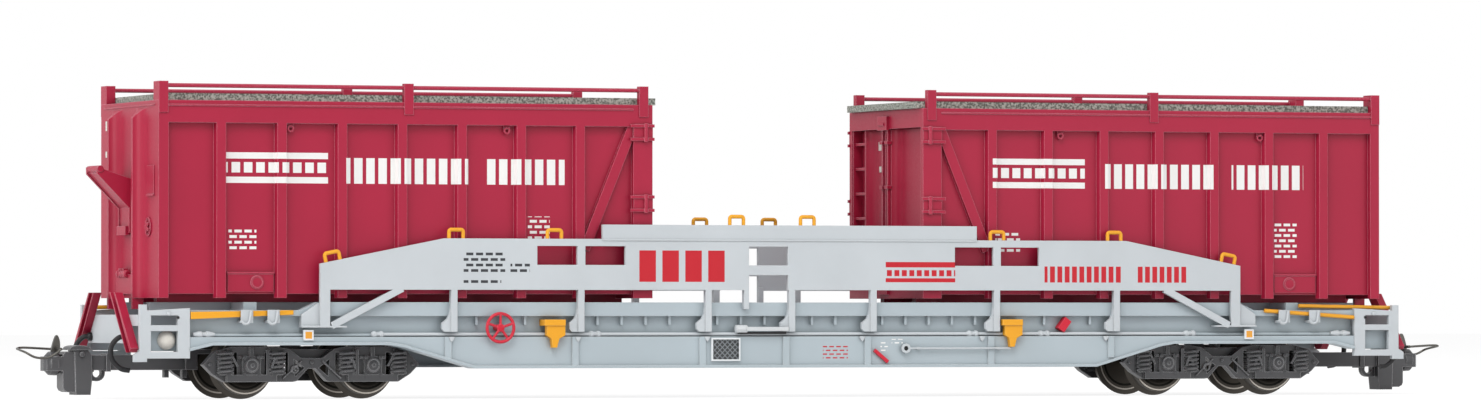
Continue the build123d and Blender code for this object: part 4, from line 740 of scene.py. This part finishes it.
def mesh_holder():
    """Printed ABS card holder: a white frame round a dark woven mesh. Its wires slant both ways and cross
    the frame every 0.8 mm, so its squares are about 0.57 mm wide, drawn coarser than real ones to show."""
    material, tree = start("printed_mesh_abs")
    along, _, height = side_place(tree)
    wires = []
    for slant in ("ADD", "SUBTRACT"):
        run = add(tree, MATH, (along, height), operation=slant)
        angle = add(tree, MATH, (run, math.pi / MESH_PITCH), operation="MULTIPLY")
        wave = add(tree, MATH, (angle,), operation="SINE")
        swing = add(tree, MATH, (wave,), operation="ABSOLUTE")
        wires.append(add(tree, MATH, (swing, MESH_WIRE), operation="LESS_THAN"))
    crossed = add(tree, MATH, wires, operation="MAXIMUM")
    woven = add(tree, MIX, {SHARE: crossed, BELOW: linear(MESH_DARK), ABOVE: linear(MESH_GREY)},
                data_type="RGBA")
    inner = patches(tree, along, height, (MESH_WINDOW,))
    colour = add(tree, MIX, {SHARE: inner, BELOW: linear(MESH_FRAME), ABOVE: woven}, data_type="RGBA")
    surface = add(tree, SURFACE, {"Base Color": colour, "Roughness": 0.45})
    add(tree, OUTPUT, {"Surface": surface})
    return material


def reflector():
    """Clear amber plastic on a white plate, smooth, so that it shines more than the paint round it."""
    material, tree = start("amber_reflector")
    along, _, height = side_place(tree)
    away = add(tree, MATH, (along,), operation="ABSOLUTE")
    wide = add(tree, MATH, (away, LENS_X, LENS_HALF), operation="COMPARE")
    tall = add(tree, MATH, (height, LENS_HEIGHT, LENS_HALF), operation="COMPARE")
    lens = add(tree, MATH, (wide, tall), operation="MULTIPLY")
    colour = add(tree, MIX, {SHARE: lens, BELOW: linear(LENS_PLATE), ABOVE: linear(AMBER)}, data_type="RGBA")
    surface = add(tree, SURFACE, {"Base Color": colour, "Roughness": 0.25})
    add(tree, OUTPUT, {"Surface": surface})
    return material


def wheel_metal():
    """Blackened wheel of cast metal: a duller disc and a paler rim, a bright band painted as a highlight near
    the rim's edge, and a groove painted nearly black as shade. The distance from the nearest axle picks the
    band."""
    material, tree = start("blackened_wheel_metal")
    place = add(tree, "ShaderNodeTexCoord").outputs["Object"]
    axes = add(tree, "ShaderNodeSeparateXYZ", {"Vector": place}).outputs
    away = add(tree, MATH, (axes["X"],), operation="ABSOLUTE")
    along = add(tree, MATH, (away, MM), operation="DIVIDE")
    shifted = add(tree, MATH, (along, PIVOT_X), operation="SUBTRACT")
    fold = add(tree, MATH, (shifted,), operation="ABSOLUTE")
    beside = add(tree, MATH, (fold, HALF_WHEELBASE), operation="SUBTRACT")
    lifted = add(tree, MATH, (axes["Z"], MM), operation="DIVIDE")
    above = add(tree, MATH, (lifted, TREAD_RADIUS + FLANGE_DEPTH), operation="SUBTRACT")
    wide = add(tree, MATH, (beside, beside), operation="MULTIPLY")
    tall = add(tree, MATH, (above, above), operation="MULTIPLY")
    square = add(tree, MATH, (wide, tall), operation="ADD")
    radius = add(tree, MATH, (square,), operation="SQRT")
    rim = add(tree, MATH, (radius, RIM_RADIUS), operation="GREATER_THAN")
    # Painted highlight: a band of bright turned-steel colour near the rim. Painted shade: a nearly black band
    # in the groove
    rim_highlight = add(tree, MATH, (radius, *RIM_HIGHLIGHT_BAND), operation="COMPARE")
    groove_shade = add(tree, MATH, (radius, *GROOVE_SHADE_BAND), operation="COMPARE")
    colour = linear(WHEEL_DISC)
    for band, shade in ((rim, WHEEL_RIM), (rim_highlight, TREAD_STEEL), (groove_shade, GROOVE_SHADE_COLOUR)):
        colour = add(tree, MIX, {SHARE: band, BELOW: colour, ABOVE: linear(shade)}, data_type="RGBA")
    grain = add(tree, "ShaderNodeTexNoise", {"Vector": place, "Scale": 1 / GRAIN_SIZE, "Detail": 2.0})
    gloss = add(tree, RANGE, {"Value": grain.outputs["Fac"], "To Min": 0.3, "To Max": 0.5})
    surface = add(tree, SURFACE, {"Base Color": colour, "Roughness": gloss, "Metallic": 0.85})
    add(tree, OUTPUT, {"Surface": surface})
    return material


def metal(name, colour, roughness):
    """Drawn or turned metal: one colour, with its polish varied by a grain drawn 0.3 mm coarse."""
    material, tree = start(name)
    place = add(tree, "ShaderNodeTexCoord").outputs["Object"]
    grain = add(tree, "ShaderNodeTexNoise", {"Vector": place, "Scale": 1 / GRAIN_SIZE, "Detail": 2.0})
    gloss = add(tree, RANGE, {"Value": grain.outputs["Fac"], "To Min": roughness - 0.08,
                              "To Max": roughness + 0.08})
    surface = add(tree, SURFACE, {"Base Color": linear(colour), "Metallic": 1.0, "Roughness": gloss})
    add(tree, OUTPUT, {"Surface": surface})
    return material


def materials():
    """One finish for each slot of the record."""
    box_prints = ((BOX_LINES, PRINT_WHITE, None), (BOX_WORDS, PRINT_WHITE, LETTERS),
                  (BOX_DATA, PRINT_WHITE, ROWS))
    truss_prints = ((TRUSS_LINES, PRINT_RED, None), (TRUSS_WORDS, PRINT_RED, SMALL_LETTERS),
                    (TRUSS_DATA, PRINT_BLACK, ROWS))
    sill_prints = ((SILL_DATA, PRINT_RED, FINE_ROWS), (SILL_MARKS, PRINT_WHITE, FINE_ROWS))
    return {
        # Sprayed ABS of the containers: deep satin red, with pink painted highlights on the edges
        "crimson": moulded("crimson_painted_abs", CRIMSON, edge_highlight_gain=0.7, edge_highlight_colour=PINK_EDGE_HIGHLIGHT,
                           prints=box_prints, face=BOX_PRINT_FACE),
        # Sprayed ABS of the trusses and the sills: two cool pale greys, with nearly white painted highlights
        # on the edges
        "light_grey": moulded("light_grey_painted_abs", LIGHT_GREY, prints=truss_prints,
                              face=TRUSS_PRINT_FACE),
        "blue_grey": moulded("blue_grey_painted_abs", BLUE_GREY, prints=sill_prints, face=SILL_PRINT_FACE),
        # Bare acetal of the bogies: dark grey, with a strong painted highlight on its small edges and a
        # painted shade that makes its recesses nearly black
        "bogie_black": moulded("dark_grey_moulded_pom", BOGIE_GREY, roughness=0.36, edge_highlight_gain=0.8,
                               edge_width=0.22, edge_highlight_colour=GREY_EDGE_HIGHLIGHT, recess_painted_shade=0.9),
        "wheel_metal": wheel_metal(),
        # Turned steel: bright, with soft reflections
        "axle_steel": metal("turned_axle_steel", TREAD_STEEL, 0.3),
        # Blackened spring wire: dark, with a narrow light line along it
        "coupler_metal": metal("blackened_spring_wire", BLACKENED, 0.35),
        # Sprayed ABS of the small fittings: full colours, with paler painted highlights on the edges
        "yellow": moulded("yellow_painted_abs", TRAFFIC_YELLOW, edge_highlight_colour=YELLOW_EDGE_HIGHLIGHT),
        "red": moulded("red_painted_abs", SIGNAL_RED, edge_highlight_colour=RED_EDGE_HIGHLIGHT),
        "cover_grey": cover_board(),
        "mesh_grey": mesh_holder(),
        # Bare mouldings: a shiny pearl white without painted highlights, a silver grey with pale painted
        # highlights on its edges, and a black whose edges get hardly any
        "pale": moulded("pearl_moulding", PEARL, roughness=0.28, edge_highlight_gain=0.0),
        "silver": moulded("silver_grey_moulding", SILVER_GREY, roughness=0.3),
        "hose_black": moulded("black_moulded_hose", HOSE_BLACK, edge_highlight_gain=0.05),
        "reflector": reflector(),
    }


def dress_nodes(frame, finishes):
    """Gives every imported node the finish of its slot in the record, and shades the rounded ones smooth."""
    slots = {entry["node"]: entry["material_slot"] for entry in frame["record"]["subparts"]}
    for name, node in frame["nodes"].items():
        node.data.materials.clear()
        node.data.materials.append(finishes[slots[name]])
        if any(word in name for word in ROUNDED):
            node.data.shade_smooth()
            node.modifiers.new("weld", "WELD").merge_threshold = WELD_REACH
            node.modifiers.new("edges", "EDGE_SPLIT").split_angle = NODE_EDGE_ANGLE


# Stage

def seen(tree):
    """1 for rays from the camera and for those that gloss or glass sends on, and 0 for the others."""
    rays = add(tree, "ShaderNodeLightPath").outputs
    share = rays["Is Camera Ray"]
    for kind in ("Is Glossy Ray", "Is Transmission Ray"):
        share = add(tree, MATH, (share, rays[kind]), operation="MAXIMUM")
    return share


def floor():
    """Plain pale floor that shows nearly white to the camera and keeps a faint shadow of the object."""
    half = FLOOR_SIZE / 2
    places = [(-half, -half, 0), (half, -half, 0), (half, half, 0), (-half, half, 0)]
    material, tree = start("pale_floor")
    matt = add(tree, SURFACE, {"Base Color": linear(FLOOR_WHITE), "Roughness": 0.9})
    glow = add(tree, "ShaderNodeEmission", {"Color": PURE_WHITE, "Strength": FLOOR_GLOW})
    share = add(tree, MATH, (seen(tree), FLOOR_GLOW_SHARE), operation="MULTIPLY")
    mix = add(tree, "ShaderNodeMixShader", (share, matt, glow))
    add(tree, OUTPUT, {"Surface": mix})
    mesh = bpy.data.meshes.new("floor")
    mesh.from_pydata(places, [], [(0, 1, 2, 3)])
    mesh.materials.append(material)
    ground = bpy.data.objects.new("floor", mesh)
    bpy.context.scene.collection.objects.link(ground)


def world():
    """White surroundings: 1 to the camera and in reflections, soft light otherwise."""
    sky = bpy.data.worlds.new("studio")
    bpy.context.scene.world = sky
    sky.use_nodes = True
    tree = sky.node_tree
    tree.nodes.clear()
    strength = add(tree, RANGE, {"Value": seen(tree), "To Min": WORLD_LIGHT, "To Max": 1.0})
    glow = add(tree, "ShaderNodeBackground", {"Color": PURE_WHITE, "Strength": strength})
    add(tree, "ShaderNodeOutputWorld", {"Surface": glow})


def lamp(name, place, size, power):
    """Soft square lamp that faces the middle of the object."""
    data = bpy.data.lights.new(name, "AREA")
    data.size = size
    data.energy = power
    light = bpy.data.objects.new(name, data)
    light.location = place
    light.rotation_euler = (LAMP_AIM - Vector(place)).to_track_quat("-Z", "Y").to_euler()
    bpy.context.scene.collection.objects.link(light)


def camera():
    """Almost level telephoto view from the left of the near side."""
    data = bpy.data.cameras.new("camera")
    data.lens = CAMERA_LENS
    data.sensor_width = CAMERA_SENSOR
    data.clip_start = 0.01
    view = bpy.data.objects.new("camera", data)
    flat = Vector((-math.sin(CAMERA_AZIMUTH), math.cos(CAMERA_AZIMUTH), 0))
    place = CAMERA_AIM - flat * CAMERA_DISTANCE
    place.z = CAMERA_HEIGHT
    look = flat * math.cos(CAMERA_ELEVATION) + Vector((0, 0, math.sin(CAMERA_ELEVATION)))
    view.location = place
    view.rotation_euler = look.to_track_quat("-Z", "Y").to_euler()
    bpy.context.scene.collection.objects.link(view)
    bpy.context.scene.camera = view


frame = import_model()
finishes = materials()
dress_nodes(frame, finishes)
add_pieces(finishes)
camera()
floor()
world()
for name, place, size, power in LAMPS:
    lamp(name, place, size, power)
bpy.context.scene.view_settings.view_transform = "Standard"
